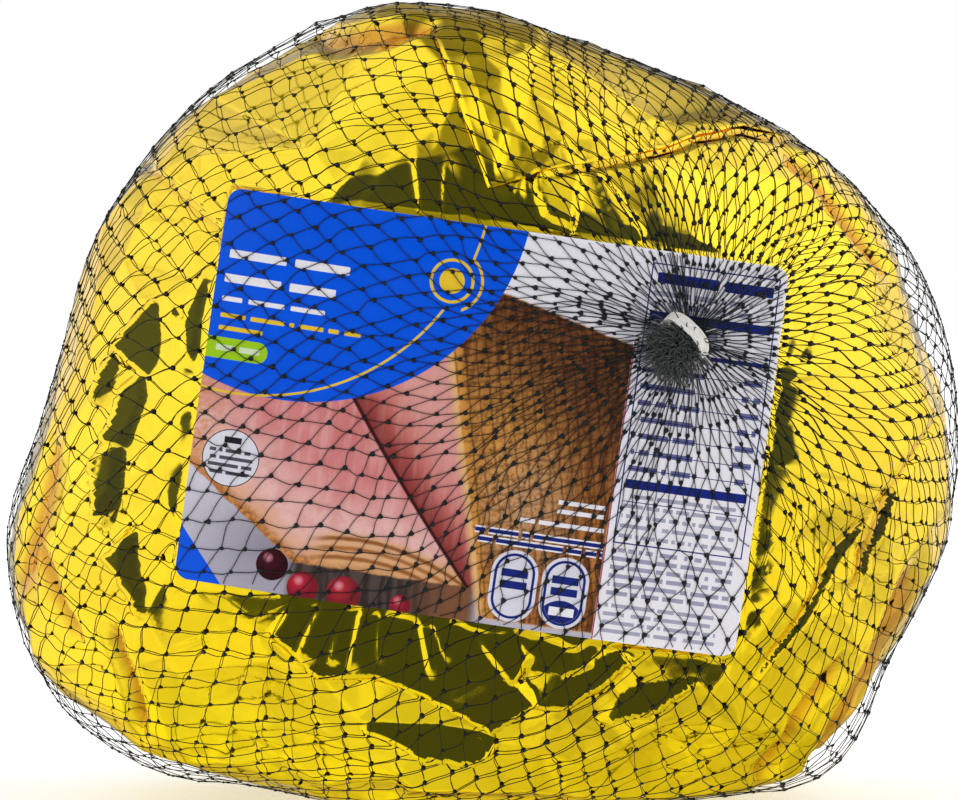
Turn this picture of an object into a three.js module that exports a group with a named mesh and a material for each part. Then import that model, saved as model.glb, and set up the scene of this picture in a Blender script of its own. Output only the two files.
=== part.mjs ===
// A netted ham pack: half a bone-in ham, wrapped in crumpled gold foil with a paper label on its
// front, held in a knotted diamond net that is gathered and clipped at the front and at the back.
//
// Frame: millimetres, +Z up, the origin on the floor under the middle of the pack. The pack stands
// on its flattened cut face, and its label faces -Y.

import * as THREE from 'three';

// ---- Driving dimensions ------------------------------------------------------------------------

// The netted pack seen from the front: distance from its middle to the net's outside, every 15
// degrees counter-clockwise from the right. The floor cuts off what would reach below it.
const OUTLINE_RADII = [
  126.4, 124.0, 118.9, 111.4, 105.6, 104.5, 110.0, 114.1, 112.8, 113.7, 113.0, 112.2,
  117.4, 130.6, 134.9, 127.6, 113.3, 109.0, 106.0, 109.0, 117.0, 130.5, 126.1, 128.1,
];
const PACK_MIDDLE = new THREE.Vector3(0, 0, 100.4);
const FRONT_DEPTH = 70; // from the middle to the foil's front
const BACK_DEPTH = 70;
const FULLNESS = 2.8; // power of the superellipse between the outline and the depth

// The foil is the surface that all else is set off from.
const NET_GAP = 0.45; // foil to the inside of the net
const NET_GAP_LABEL = 1.0; // the same where the label lies between them
const NET_HEIGHT = 1.0;
const NET_STANDOFF = 1.7; // foil to the outside of the net along the outline
const FOIL_FLOOR = NET_GAP + NET_HEIGHT; // height of the foil's flat bottom
const FLOOR_ROUNDING = 2;
const FLOOR_MARGIN = 3; // width of the change from the flat bottom to the crumpled sides

const FOIL_SECTORS = 76;
const FOIL_RINGS = 27;
const FACET_COUNT = 150; // flat facets pressed into the crumpled foil
const FACET_SINK = 1.8; // deepest facet below the full form
const FACET_RISE = 0.6; // highest facet above it, which cuts nothing
const FACET_TILT = 0.1; // most that a facet leans, as a slope
const FACET_SHAKE = 0.25; // unevenness of the facets' spread
const FACET_TURN = 0.2; // cosine past which a facet is too far round to cut

const LABEL_WIDTH = 144;
const LABEL_HEIGHT = 100;
const LABEL_CORNER = 3.5;
const LABEL_MIDDLE = { x: 0.5, z: 103 };
const LABEL_TILT = THREE.MathUtils.degToRad(-8.2);
const LABEL_GAP = 0.2; // full form to the label's back
const LABEL_THICKNESS = 0.45;
const LABEL_RINGS = 5;
const LABEL_STEP = 13; // longest straight stretch along its edge
const LABEL_BED = 0.5; // how far the foil is pressed in under the label
const LABEL_MARGIN = 12; // width of the slope round that bed
const LABEL_SMOOTHING = 0.75; // share of the creases that the label presses out

const NET_COLUMNS = 27;
const NET_STRAND = 19.5; // length of a strand between two knots
const NET_HALF_WIDTH = 0.8;
const NET_CLOSING = 0.42; // most that a strand may take of the way to a cell's middle
const NET_COLLAR_RADIUS = 6.5; // ring of the net's last knots round each gather
const NET_FLAT_BAND = 0.6; // knots this close to the floor lie flat on it

// The front gather as seen from the front. The back one is straight across the pack's middle, so
// that every column of the net is about equally long. Each tuft leans its own way.
const FRONT_GATHER = { x: 52, z: 125 };
const GATHER_LEANS = { front: [-0.28, -1, -0.28], back: [0.28, 1, -0.28] };
const CLIP_LENGTH = 13; // outside, across the neck
const CLIP_BREADTH = 9.6;
const CLIP_WALL = 1.2;
const CLIP_BAND = 2.8; // width of the clip along the neck
const CLIP_HEIGHT = 5.0; // middle of the band above the net, along the neck
const CLIP_CLEARANCE = 0.35;
const CLIP_ROUNDING = 0.45; // corner radius as a share of the breadth

// The tuft from the net outwards: height along the neck, radius (0 takes the neck's own), how far
// it droops to its low side, and how deep its locks are.
const TUFT_PROFILE = [
  { height: 2.2, radius: 0, droop: 0, ridge: 0 },
  { height: 6.8, radius: 0, droop: 0, ridge: 0 },
  { height: 7.8, radius: 5.6, droop: 0.2, ridge: 0.08 },
  { height: 9.2, radius: 7.4, droop: 0.4, ridge: 0.12 },
  { height: 11.2, radius: 8.3, droop: 0.6, ridge: 0.14 },
  { height: 13.2, radius: 7.4, droop: 0.9, ridge: 0.16 },
  { height: 14.8, radius: 4.6, droop: 1.2, ridge: 0.2 },
];
const TUFT_TIP = 0.8; // height of the tuft's end above its last ring
const TUFT_SIDES = 24;
const TUFT_LOCKS = 7;

// Hollows where the foil falls away inside the taut net: place, radius and depth.
const HOLLOWS = [
  { x: -58, y: 0, z: 198, radius: 34, depth: 3.5 },
  { x: 119, y: 0, z: 132, radius: 30, depth: 7.5 },
  { x: 122, y: 0, z: 92, radius: 26, depth: 3 },
  { x: 96, y: 0, z: 8, radius: 22, depth: 9 },
  { x: -98, y: 0, z: 14, radius: 24, depth: 9.5 },
  { x: -121, y: 0, z: 100, radius: 28, depth: 3.5 },
  { x: 40, y: 55, z: 190, radius: 24, depth: 5 },
  { x: -80, y: 52, z: 150, radius: 30, depth: 4 },
  { x: 85, y: 50, z: 50, radius: 26, depth: 5 },
  { x: -60, y: -52, z: 20, radius: 22, depth: 4 },
];

// Pleats pressed into the foil, from one end to the other: side is -1 on the front, 1 on the back.
const PLEATS = [
  { from: [72, 34], to: [122, 104], side: -1, width: 9, depth: 2.6 },
  { from: [86, 2], to: [112, 54], side: -1, width: 10, depth: 4 },
  { from: [92, 92], to: [120, 62], side: -1, width: 8, depth: 2.4 },
  { from: [-10, 206], to: [6, 168], side: -1, width: 8, depth: 2.4 },
  { from: [4, 163], to: [84, 176], side: -1, width: 8, depth: 2.2 },
  { from: [-96, 176], to: [-66, 152], side: -1, width: 9, depth: 2.2 },
  { from: [-122, 52], to: [-112, 98], side: -1, width: 9, depth: 2.6 },
  { from: [-96, 46], to: [-70, 14], side: -1, width: 9, depth: 3 },
  { from: [-90, 60], to: [60, 120], side: 1, width: 12, depth: 3.5 },
  { from: [-30, 200], to: [70, 60], side: 1, width: 10, depth: 3 },
  { from: [20, 20], to: [100, 110], side: 1, width: 9, depth: 2.5 },
];

const COLOURS = {
  foil: 0xe6c31e,
  label: 0xd8d6dd,
  net: 0x2b2d2a,
  clip: 0xe4e2d6,
};

// ---- Small helpers -----------------------------------------------------------------------------

const TURN = 2 * Math.PI;

// Repeatable random numbers from 0 to 1.
function seededRandom(seed) {
  let state = seed;
  return () => {
    state = (state + 0x6d2b79f5) | 0;
    let mixed = Math.imul(state ^ (state >>> 15), 1 | state);
    mixed = (mixed + Math.imul(mixed ^ (mixed >>> 7), 61 | mixed)) ^ mixed;
    return ((mixed ^ (mixed >>> 14)) >>> 0) / 4294967296;
  };
}

function fade(value) {
  const t = THREE.MathUtils.clamp(value, 0, 1);
  return t * t * (3 - 2 * t);
}

// A closed mesh from points and triangles, turned inside out if its faces point inwards.
function closedGeometry(points, triangles) {
  let volume = 0;
  for (const [a, b, c] of triangles) {
    volume += points[a].dot(new THREE.Vector3().crossVectors(points[b], points[c]));
  }
  const outward = volume > 0 ? triangles : triangles.map(([a, b, c]) => [a, c, b]);
  const geometry = new THREE.BufferGeometry().setFromPoints(points);
  geometry.setIndex(outward.flat());
  geometry.computeVertexNormals();
  return geometry;
}

// A closed skin over rings of equally many points, with a single point at either end.
function loft(first, rings, last) {
  const count = rings[0].length;
  const points = [first, ...rings.flat(), last];
  const triangles = [];
  const id = (ring, k) => 1 + ring * count + (k % count);
  for (let k = 0; k < count; k += 1) {
    triangles.push([0, id(0, k + 1), id(0, k)]);
    triangles.push([points.length - 1, id(rings.length - 1, k), id(rings.length - 1, k + 1)]);
    for (let ring = 0; ring + 1 < rings.length; ring += 1) {
      triangles.push([id(ring, k), id(ring, k + 1), id(ring + 1, k + 1)]);
      triangles.push([id(ring, k), id(ring + 1, k + 1), id(ring + 1, k)]);
    }
  }
  return closedGeometry(points, triangles);
}

function finish(colour, roughness, metalness) {
  return new THREE.MeshStandardMaterial({ color: colour, roughness, metalness });
}

function namedMesh(name, geometry, material) {
  const mesh = new THREE.Mesh(geometry, material);
  mesh.name = name;
  return mesh;
}

// ---- The full form of the wrapped ham ----------------------------------------------------------

// Distance from the pack's middle to the net's outside in the front view, a smooth closed curve.
function outlineRadius(angle) {
  const count = OUTLINE_RADII.length;
  const place = (THREE.MathUtils.euclideanModulo(angle, TURN) / TURN) * count;
  const index = Math.floor(place);
  const t = place - index;
  const [a, b, c, d] = [-1, 0, 1, 2].map((step) => OUTLINE_RADII[(index + step + count) % count]);
  const bend = 2 * a - 5 * b + 4 * c - d;
  const twist = 3 * b - a - 3 * c + d;
  return 0.5 * (2 * b + (c - a) * t + bend * t * t + twist * t * t * t);
}

// Distance from the middle to the foil's full form in a direction, without its flat bottom.
function roundRadius(direction) {
  const outline = outlineRadius(Math.atan2(direction.z, direction.x)) - NET_STANDOFF;
  const depth = direction.y < 0 ? FRONT_DEPTH : BACK_DEPTH;
  const across = Math.hypot(direction.x, direction.z) / outline;
  const along = Math.abs(direction.y) / depth;
  return (across ** FULLNESS + along ** FULLNESS) ** (-1 / FULLNESS);
}

// Distance from the middle to the plane of the flat bottom.
function floorRadius(direction) {
  return direction.z < 0 ? (PACK_MIDDLE.z - FOIL_FLOOR) / -direction.z : Infinity;
}

// Distance from the middle to the full, uncrumpled foil.
function formRadius(direction) {
  const round = roundRadius(direction);
  const floor = floorRadius(direction);
  const meeting = Math.max(FLOOR_ROUNDING - Math.abs(round - floor), 0) / FLOOR_ROUNDING;
  return Math.min(round, floor) - (meeting * meeting * FLOOR_ROUNDING) / 4;
}

function formPoint(direction) {
  return direction.clone().multiplyScalar(formRadius(direction)).add(PACK_MIDDLE);
}

// How far a point stands outside the form, measured from the middle.
function formLevel(point) {
  const offset = point.clone().sub(PACK_MIDDLE);
  const distance = offset.length();
  return distance - formRadius(offset.divideScalar(distance));
}

function formNormal(point) {
  const step = 0.5;
  const slope = ['x', 'y', 'z'].map((axis) => {
    const ahead = point.clone();
    const behind = point.clone();
    ahead[axis] += step;
    behind[axis] -= step;
    return formLevel(ahead) - formLevel(behind);
  });
  return new THREE.Vector3(...slope).normalize();
}

// The point of the form that shows at x and z, from the front (side -1) or the back (side 1).
function formPointAt(x, z, side) {
  const offset = new THREE.Vector3(x - PACK_MIDDLE.x, 0, z - PACK_MIDDLE.z);
  const outline = outlineRadius(Math.atan2(offset.z, offset.x)) - NET_STANDOFF;
  const depth = side < 0 ? FRONT_DEPTH : BACK_DEPTH;
  const reach = Math.min(offset.length() / outline, 0.999);
  return new THREE.Vector3(x, side * depth * (1 - reach ** FULLNESS) ** (1 / FULLNESS), z);
}

// ---- Foil pack ---------------------------------------------------------------------------------

// Directions spread evenly over a sphere and then shaken a little.
function spreadDirections(count, random) {
  const golden = Math.PI * (3 - Math.sqrt(5));
  return Array.from({ length: count }, (_, k) => {
    const height = 1 - (2 * (k + 0.5)) / count;
    const ring = Math.sqrt(1 - height * height);
    const direction = new THREE.Vector3(ring * Math.cos(k * golden), height, ring * Math.sin(k * golden));
    const shake = new THREE.Vector3(random() - 0.5, random() - 0.5, random() - 0.5);
    return direction.addScaledVector(shake, FACET_SHAKE).normalize();
  });
}

// Planes that cut the foil's flat facets, each leaning a little and sunk by its own amount.
function makeFacets() {
  const random = seededRandom(11);
  return spreadDirections(FACET_COUNT, random).map((direction) => {
    const point = formPoint(direction);
    const lean = new THREE.Vector3(random() - 0.5, random() - 0.5, random() - 0.5);
    const normal = formNormal(point).addScaledVector(lean, 2 * FACET_TILT).normalize();
    const sink = THREE.MathUtils.lerp(-FACET_RISE, FACET_SINK, random());
    return { normal, reach: point.sub(PACK_MIDDLE).dot(normal) - sink };
  });
}

const FACETS = makeFacets();

// How deep the facets cut below the form in a direction.
function facetDepth(direction, radius) {
  let nearest = radius;
  for (const facet of FACETS) {
    const along = direction.dot(facet.normal);
    if (along > FACET_TURN) nearest = Math.min(nearest, facet.reach / along);
  }
  return Math.min(radius - nearest, 2 * FACET_SINK);
}

function hollowDepth(point) {
  return HOLLOWS.reduce((sum, hollow) => {
    const away = point.distanceTo(new THREE.Vector3(hollow.x, hollow.y, hollow.z)) / hollow.radius;
    return sum + hollow.depth * Math.exp(-away * away);
  }, 0);
}

// Depth of the pleats: a V-shaped furrow that runs out at both ends.
function pleatDepth(point) {
  return PLEATS.reduce((deepest, pleat) => {
    if (point.y * pleat.side < 0) return deepest;
    const start = new THREE.Vector2(...pleat.from);
    const run = new THREE.Vector2(...pleat.to).sub(start);
    const offset = new THREE.Vector2(point.x, point.z).sub(start);
    const along = offset.dot(run) / run.lengthSq();
    const away = Math.abs(offset.cross(run)) / run.length();
    const ends = fade((0.6 - Math.abs(along - 0.5)) / 0.3);
    return Math.max(deepest, pleat.depth * ends * Math.max(0, 1 - away / pleat.width));
  }, 0);
}

// 1 under the label, falling to 0 a little way outside it.
function labelCover(point) {
  if (point.y > 0) return 0;
  const offset = new THREE.Vector2(point.x - LABEL_MIDDLE.x, point.z - LABEL_MIDDLE.z);
  offset.rotateAround(new THREE.Vector2(), -LABEL_TILT);
  const outside = Math.max(Math.abs(offset.x) - LABEL_WIDTH / 2, Math.abs(offset.y) - LABEL_HEIGHT / 2);
  return 1 - fade(outside / LABEL_MARGIN);
}

function foilPoint(direction) {
  const radius = formRadius(direction);
  const point = direction.clone().multiplyScalar(radius).add(PACK_MIDDLE);
  const flattened = fade((roundRadius(direction) - floorRadius(direction)) / FLOOR_MARGIN + 0.5);
  const cover = labelCover(point);
  const creases = (pleatDepth(point) + facetDepth(direction, radius)) * (1 - LABEL_SMOOTHING * cover);
  const depth = (creases + hollowDepth(point)) * (1 - flattened) + LABEL_BED * cover;
  return point.addScaledVector(direction, -depth);
}

// The pack's mean side from the front pole to the back one: angle, length so far and radius.
function meanProfile(outlineRadiusMean) {
  const steps = 2000;
  const profile = [{ angle: 0, length: 0, radius: 0 }];
  let last = null;
  for (let k = 0; k <= steps; k += 1) {
    const angle = (Math.PI * k) / steps;
    const along = Math.abs(Math.cos(angle)) / ((FRONT_DEPTH + BACK_DEPTH) / 2);
    const across = Math.sin(angle) / outlineRadiusMean;
    const reach = (across ** FULLNESS + along ** FULLNESS) ** (-1 / FULLNESS);
    const place = new THREE.Vector2(reach * Math.sin(angle), reach * Math.cos(angle));
    if (last) {
      const length = profile[profile.length - 1].length + place.distanceTo(last);
      profile.push({ angle, length, radius: place.x });
    }
    last = place;
  }
  return profile;
}

const MEAN_OUTLINE = OUTLINE_RADII.reduce((sum, radius) => sum + radius, 0) / OUTLINE_RADII.length;
const PROFILE = meanProfile(MEAN_OUTLINE - NET_STANDOFF);
const PROFILE_LENGTH = PROFILE[PROFILE.length - 1].length;

// The profile's angle and radius at a distance from the front pole.
function profileAt(length) {
  const next = PROFILE.findIndex((entry) => entry.length >= length);
  if (next <= 0) return PROFILE[next === 0 ? 0 : PROFILE.length - 1];
  const before = PROFILE[next - 1];
  const after = PROFILE[next];
  const t = (length - before.length) / (after.length - before.length);
  return {
    angle: THREE.MathUtils.lerp(before.angle, after.angle, t),
    radius: THREE.MathUtils.lerp(before.radius, after.radius, t),
  };
}

// Direction from the middle: angle from the front pole, and turn counter-clockwise from the right.
function directionAt(angle, turn) {
  const ring = Math.sin(angle);
  return new THREE.Vector3(ring * Math.cos(turn), -Math.cos(angle), ring * Math.sin(turn));
}

function makeFoilPack() {
  const rings = [];
  for (let ring = 1; ring <= FOIL_RINGS; ring += 1) {
    const { angle } = profileAt((PROFILE_LENGTH * ring) / (FOIL_RINGS + 1));
    const points = [];
    for (let k = 0; k < FOIL_SECTORS; k += 1) {
      points.push(foilPoint(directionAt(angle, (TURN * k) / FOIL_SECTORS)));
    }
    rings.push(points);
  }
  return loft(foilPoint(directionAt(0, 0)), rings, foilPoint(directionAt(Math.PI, 0)));
}

// ---- Label -------------------------------------------------------------------------------------

// A rounded rectangle about the origin, as points no further apart than a step.
function roundedRectangle(width, height, corner, step) {
  const cornerSteps = 3;
  const points = [];
  const sides = [
    { x: width / 2 - corner, z: height / 2 - corner, start: 0 },
    { x: corner - width / 2, z: height / 2 - corner, start: 1 },
    { x: corner - width / 2, z: corner - height / 2, start: 2 },
    { x: width / 2 - corner, z: corner - height / 2, start: 3 },
  ];
  sides.forEach((side, index) => {
    for (let k = 0; k <= cornerSteps; k += 1) {
      const angle = (Math.PI / 2) * (side.start + k / cornerSteps);
      const x = side.x + corner * Math.cos(angle);
      points.push(new THREE.Vector2(x, side.z + corner * Math.sin(angle)));
    }
    const next = sides[(index + 1) % sides.length];
    const run = Math.hypot(next.x - side.x, next.z - side.z);
    const last = points[points.length - 1];
    const pieces = Math.ceil(run / step);
    for (let k = 1; k < pieces; k += 1) {
      const shift = new THREE.Vector2(next.x - side.x, next.z - side.z);
      points.push(last.clone().addScaledVector(shift, k / pieces));
    }
  });
  return points;
}

// A point of the label, given on its flat sheet, laid on the foil at a height above it.
function labelPoint(flat, height) {
  const turned = flat.clone().rotateAround(new THREE.Vector2(), LABEL_TILT);
  const point = formPointAt(LABEL_MIDDLE.x + turned.x, LABEL_MIDDLE.z + turned.y, -1);
  return point.addScaledVector(formNormal(point), height);
}

function makeLabel() {
  const outline = roundedRectangle(LABEL_WIDTH, LABEL_HEIGHT, LABEL_CORNER, LABEL_STEP);
  const face = (height) => Array.from({ length: LABEL_RINGS }, (_, ring) => {
    const scale = Math.sqrt((ring + 1) / LABEL_RINGS);
    return outline.map((flat) => labelPoint(flat.clone().multiplyScalar(scale), height));
  });
  const front = face(LABEL_GAP + LABEL_THICKNESS);
  const back = face(LABEL_GAP).reverse();
  const middle = new THREE.Vector2();
  return loft(
    labelPoint(middle, LABEL_GAP + LABEL_THICKNESS),
    [...front, ...back],
    labelPoint(middle, LABEL_GAP),
  );
}

// ---- Net ---------------------------------------------------------------------------------------

// The net's axis runs from the back gather through the middle to the front one.
const NET_AXIS = formPointAt(FRONT_GATHER.x, FRONT_GATHER.z, -1).sub(PACK_MIDDLE).normalize();
const NET_SIDE = new THREE.Vector3(1, 0, 0).projectOnPlane(NET_AXIS).normalize();
const NET_RISE = new THREE.Vector3().crossVectors(NET_AXIS, NET_SIDE);

// Direction from the middle: angle from the front gather, and turn about the net's axis.
function netDirection(angle, turn) {
  return NET_AXIS.clone().multiplyScalar(Math.cos(angle))
    .addScaledVector(NET_SIDE, Math.sin(angle) * Math.cos(turn))
    .addScaledVector(NET_RISE, Math.sin(angle) * Math.sin(turn));
}

// Share of the way from the front gather's ring to the back one's at each row of knots. A strand
// keeps its length, so the rows lie closer where the net is stretched wide.
function rowShares() {
  const start = PROFILE.find((entry) => entry.radius >= NET_COLLAR_RADIUS).length;
  const end = PROFILE_LENGTH - start;
  const rows = [start];
  while (rows[rows.length - 1] < end) {
    const { radius } = profileAt(rows[rows.length - 1]);
    const halfColumn = (Math.PI * radius) / NET_COLUMNS;
    rows.push(rows[rows.length - 1] + Math.sqrt(NET_STRAND ** 2 - halfColumn ** 2));
  }
  return rows.map((length) => (length - start) / (rows[rows.length - 1] - start));
}

// The points of the form under one column's knots, at those shares of its way round the pack.
function columnFeet(turn, shares) {
  const steps = 400;
  const path = Array.from({ length: steps + 1 }, (_, k) => {
    return formPoint(netDirection((Math.PI * k) / steps, turn));
  });
  const lengths = [0];
  path.slice(1).forEach((point, k) => lengths.push(lengths[k] + point.distanceTo(path[k])));
  const way = lengths[steps] - 2 * NET_COLLAR_RADIUS;
  return shares.map((share) => {
    const length = NET_COLLAR_RADIUS + share * way;
    const next = lengths.findIndex((reached) => reached >= length);
    const t = (length - lengths[next - 1]) / (lengths[next] - lengths[next - 1]);
    return formPoint(netDirection((Math.PI * (next - 1 + t)) / steps, turn));
  });
}

// Cells of the net as loops of knot numbers, counter-clockwise seen from outside.
function netCells(rowCount) {
  const id = (row, column) => {
    const wrapped = (column + NET_COLUMNS) % NET_COLUMNS;
    return row * NET_COLUMNS + wrapped;
  };
  const ahead = (row, column) => column + (row % 2); // the right-hand neighbour in the next row
  const cells = [];
  for (let column = 0; column < NET_COLUMNS; column += 1) {
    const lastRow = rowCount - 1;
    cells.push([id(0, column), id(1, ahead(0, column)), id(0, column + 1)]);
    cells.push([id(lastRow, column + 1), id(lastRow - 1, ahead(lastRow, column)), id(lastRow, column)]);
    for (let row = 1; row < lastRow; row += 1) {
      const side = ahead(row, column);
      cells.push([id(row - 1, side), id(row, column), id(row + 1, side), id(row, column + 1)]);
    }
  }
  const ring = Array.from({ length: NET_COLUMNS }, (_, column) => column);
  cells.push(ring.map((column) => id(0, column)));
  cells.push(ring.map((column) => id(rowCount - 1, column)).reverse());
  return cells;
}

function netGap(point) {
  return THREE.MathUtils.lerp(NET_GAP, NET_GAP_LABEL, labelCover(point));
}

// Lifts the knots off the form until every straight strand clears it by the net's gap.
function liftKnots(feet, cells) {
  const lifts = feet.map(({ point }) => netGap(point));
  const inner = (knot) => feet[knot].point.clone().addScaledVector(feet[knot].normal, lifts[knot]);
  const passes = 4;
  for (let pass = 0; pass < passes; pass += 1) {
    for (const cell of cells) {
      cell.forEach((knot, k) => {
        const next = cell[(k + 1) % cell.length];
        const from = inner(knot);
        const to = inner(next);
        const shortfalls = [0.25, 0.5, 0.75].map((t) => {
          const point = from.clone().lerp(to, t);
          const outward = point.clone().sub(PACK_MIDDLE).normalize();
          return netGap(point) - formLevel(point) * formNormal(point).dot(outward);
        });
        const lift = Math.max(0, ...shortfalls);
        lifts[knot] += lift;
        lifts[next] += lift;
      });
    }
  }
  return lifts;
}

// The points of each cell's opening, one in each corner, set in from the strands by half a width.
function insetCell(cell, outer, halfWidth) {
  const middle = new THREE.Vector3();
  cell.forEach((knot) => middle.addScaledVector(outer[knot], 1 / cell.length));
  return cell.map((knot, k) => {
    const corner = outer[knot];
    const toNext = outer[cell[(k + 1) % cell.length]].clone().sub(corner);
    const toPrevious = outer[cell[(k + cell.length - 1) % cell.length]].clone().sub(corner);
    const mitre = halfWidth / Math.sin(toNext.angleTo(toPrevious) / 2);
    const inward = middle.clone().sub(corner);
    const reach = Math.min(mitre, NET_CLOSING * inward.length());
    return corner.clone().addScaledVector(inward.normalize(), reach);
  });
}

// A lattice along the edges of its cells: each strand has a ridge inside and a flat band outside.
function latticeGeometry(outer, inner, cells, halfWidth) {
  const points = [...inner];
  const triangles = [];
  const edges = new Map(); // the cell on the left of each directed edge
  const insetIds = cells.map((cell, number) => {
    const first = points.length;
    points.push(...insetCell(cell, outer, halfWidth));
    cell.forEach((knot, k) => edges.set(`${knot}>${cell[(k + 1) % cell.length]}`, { number, k }));
    return cell.map((_, k) => first + k);
  });
  const insetOf = ({ number, k }) => insetIds[number][k % cells[number].length];

  cells.forEach((cell, number) => cell.forEach((knot, k) => {
    const next = cell[(k + 1) % cell.length];
    const start = insetOf({ number, k });
    const end = insetOf({ number, k: k + 1 });
    triangles.push([knot, start, end], [knot, end, next]);
    if (knot > next) return;
    const across = edges.get(`${next}>${knot}`);
    const acrossEnd = insetOf(across);
    const acrossStart = insetOf({ number: across.number, k: across.k + 1 });
    triangles.push([acrossStart, acrossEnd, end], [acrossStart, end, start]);
  }));

  const starts = new Map();
  cells.forEach((cell, number) => cell.forEach((knot, k) => starts.set(knot, { number, k })));
  starts.forEach((start, knot) => {
    const around = [];
    let corner = start;
    do {
      around.push(insetOf(corner));
      const cell = cells[corner.number];
      const previous = cell[(corner.k + cell.length - 1) % cell.length];
      corner = edges.get(`${knot}>${previous}`);
    } while (corner.number !== start.number);
    for (let k = 1; k + 1 < around.length; k += 1) {
      triangles.push([around[0], around[k], around[k + 1]]);
    }
  });
  return closedGeometry(points, triangles);
}

function makeNet() {
  const shares = rowShares();
  const columns = Array.from({ length: 2 * NET_COLUMNS }, (_, half) => {
    return columnFeet((Math.PI * half) / NET_COLUMNS, shares);
  });
  const feet = shares.flatMap((_, row) => Array.from({ length: NET_COLUMNS }, (__, column) => {
    const point = columns[2 * column + (row % 2)][row];
    return { point, normal: formNormal(point) };
  }));
  const cells = netCells(shares.length);
  const lifts = liftKnots(feet, cells);
  const raise = ({ point, normal }, height) => point.clone().addScaledVector(normal, height);
  const inner = feet.map((foot, knot) => raise(foot, lifts[knot]));
  const outer = feet.map((foot, knot) => raise(foot, lifts[knot] + NET_HEIGHT));
  outer.forEach((point, knot) => {
    if (point.z > NET_FLAT_BAND) return;
    point.z = 0;
    inner[knot].z = NET_HEIGHT;
  });
  return latticeGeometry(outer, inner, cells, NET_HALF_WIDTH);
}

// ---- Gathers: clip and tuft --------------------------------------------------------------------

// A frame where a gather's neck leaves the net: its third axis runs out along the neck, its first
// along the clip and its second down to the side that the tuft droops to.
function gatherPlace(end) {
  const foot = formPoint(NET_AXIS.clone().multiplyScalar(end === 'front' ? 1 : -1));
  const seat = foot.clone().addScaledVector(formNormal(foot), netGap(foot) + NET_HEIGHT);
  const lean = GATHER_LEANS[end];
  const out = new THREE.Vector3(...lean).normalize();
  const down = new THREE.Vector3(lean[0], 0, lean[2]);
  const alongClip = new THREE.Vector3().crossVectors(down, out).normalize();
  const acrossClip = new THREE.Vector3().crossVectors(out, alongClip);
  return new THREE.Matrix4().makeBasis(alongClip, acrossClip, out).setPosition(seat);
}

function makeClip(end) {
  const step = 3;
  const wallOut = roundedRectangle(CLIP_LENGTH, CLIP_BREADTH, CLIP_BREADTH * CLIP_ROUNDING, step);
  const length = CLIP_LENGTH - 2 * CLIP_WALL;
  const breadth = CLIP_BREADTH - 2 * CLIP_WALL;
  const wallIn = roundedRectangle(length, breadth, breadth * CLIP_ROUNDING, step);
  const shape = new THREE.Shape(wallOut);
  shape.holes.push(new THREE.Path(wallIn));
  const geometry = new THREE.ExtrudeGeometry(shape, { depth: CLIP_BAND, bevelEnabled: false });
  geometry.translate(0, 0, CLIP_HEIGHT - CLIP_BAND / 2);
  return geometry.applyMatrix4(gatherPlace(end));
}

// The cut ends of the net: a neck through the clip that bursts into a drooping, ridged tuft.
function makeTuft(end) {
  const neck = CLIP_BREADTH / 2 - CLIP_WALL - CLIP_CLEARANCE;
  const stretch = (CLIP_LENGTH / 2 - CLIP_WALL - CLIP_CLEARANCE) / neck;
  const place = gatherPlace(end);
  const rings = TUFT_PROFILE.map(({ height, radius, droop, ridge }, ring) => {
    return Array.from({ length: TUFT_SIDES }, (_, k) => {
      const turn = (TURN * k) / TUFT_SIDES;
      const lock = 1 + ridge * Math.cos(TUFT_LOCKS * turn + ring);
      const reach = (radius || neck) * lock;
      const x = reach * Math.cos(turn) * (radius ? 1 : stretch);
      return new THREE.Vector3(x, reach * Math.sin(turn) + droop, height).applyMatrix4(place);
    });
  });
  const start = new THREE.Vector3(0, 0, TUFT_PROFILE[0].height).applyMatrix4(place);
  const lastRing = TUFT_PROFILE[TUFT_PROFILE.length - 1];
  const tip = new THREE.Vector3(0, lastRing.droop, lastRing.height + TUFT_TIP).applyMatrix4(place);
  return loft(start, rings, tip);
}

// ---- The pack ----------------------------------------------------------------------------------

const foilFinish = finish(COLOURS.foil, 0.25, 1);
const labelFinish = finish(COLOURS.label, 0.55, 0);
const netFinish = finish(COLOURS.net, 0.6, 0);
const clipFinish = finish(COLOURS.clip, 0.45, 0);

const pack = new THREE.Group();
pack.add(namedMesh('foil_pack', makeFoilPack(), foilFinish));
pack.add(namedMesh('label', makeLabel(), labelFinish));
pack.add(namedMesh('net', makeNet(), netFinish));
for (const end of ['front', 'back']) {
  pack.add(namedMesh(`clip_${end}`, makeClip(end), clipFinish));
  pack.add(namedMesh(`net_tuft_${end}`, makeTuft(end), netFinish));
}

export default pack;
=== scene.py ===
"""Half a ham wrapped in crumpled gold foil, with a paper label, held in a knotted black net.

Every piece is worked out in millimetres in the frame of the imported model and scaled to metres
when its mesh is made. +Z is up and the label faces -Y.
"""

import math

import bmesh
import bpy
import numpy as np
from bpy.props import (
    FloatProperty,
    FloatVectorProperty,
    IntProperty,
    PointerProperty,
)
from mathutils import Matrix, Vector
from mathutils.bvhtree import BVHTree


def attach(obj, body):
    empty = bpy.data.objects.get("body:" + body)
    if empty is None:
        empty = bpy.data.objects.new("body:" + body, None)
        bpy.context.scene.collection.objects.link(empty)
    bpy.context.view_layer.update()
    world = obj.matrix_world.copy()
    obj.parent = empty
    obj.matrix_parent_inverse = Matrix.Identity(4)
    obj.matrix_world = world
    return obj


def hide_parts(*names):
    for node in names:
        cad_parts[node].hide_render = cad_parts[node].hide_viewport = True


bl_info = {
    "name": "Netted Foil Ham",
    "version": (1, 0, 0),
    "blender": (4, 5, 0),
    "location": "View3D > Sidebar > Ham",
    "description": "Builds a netted, foil-wrapped half ham with a paper label",
    "category": "Add Mesh",
}

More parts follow.
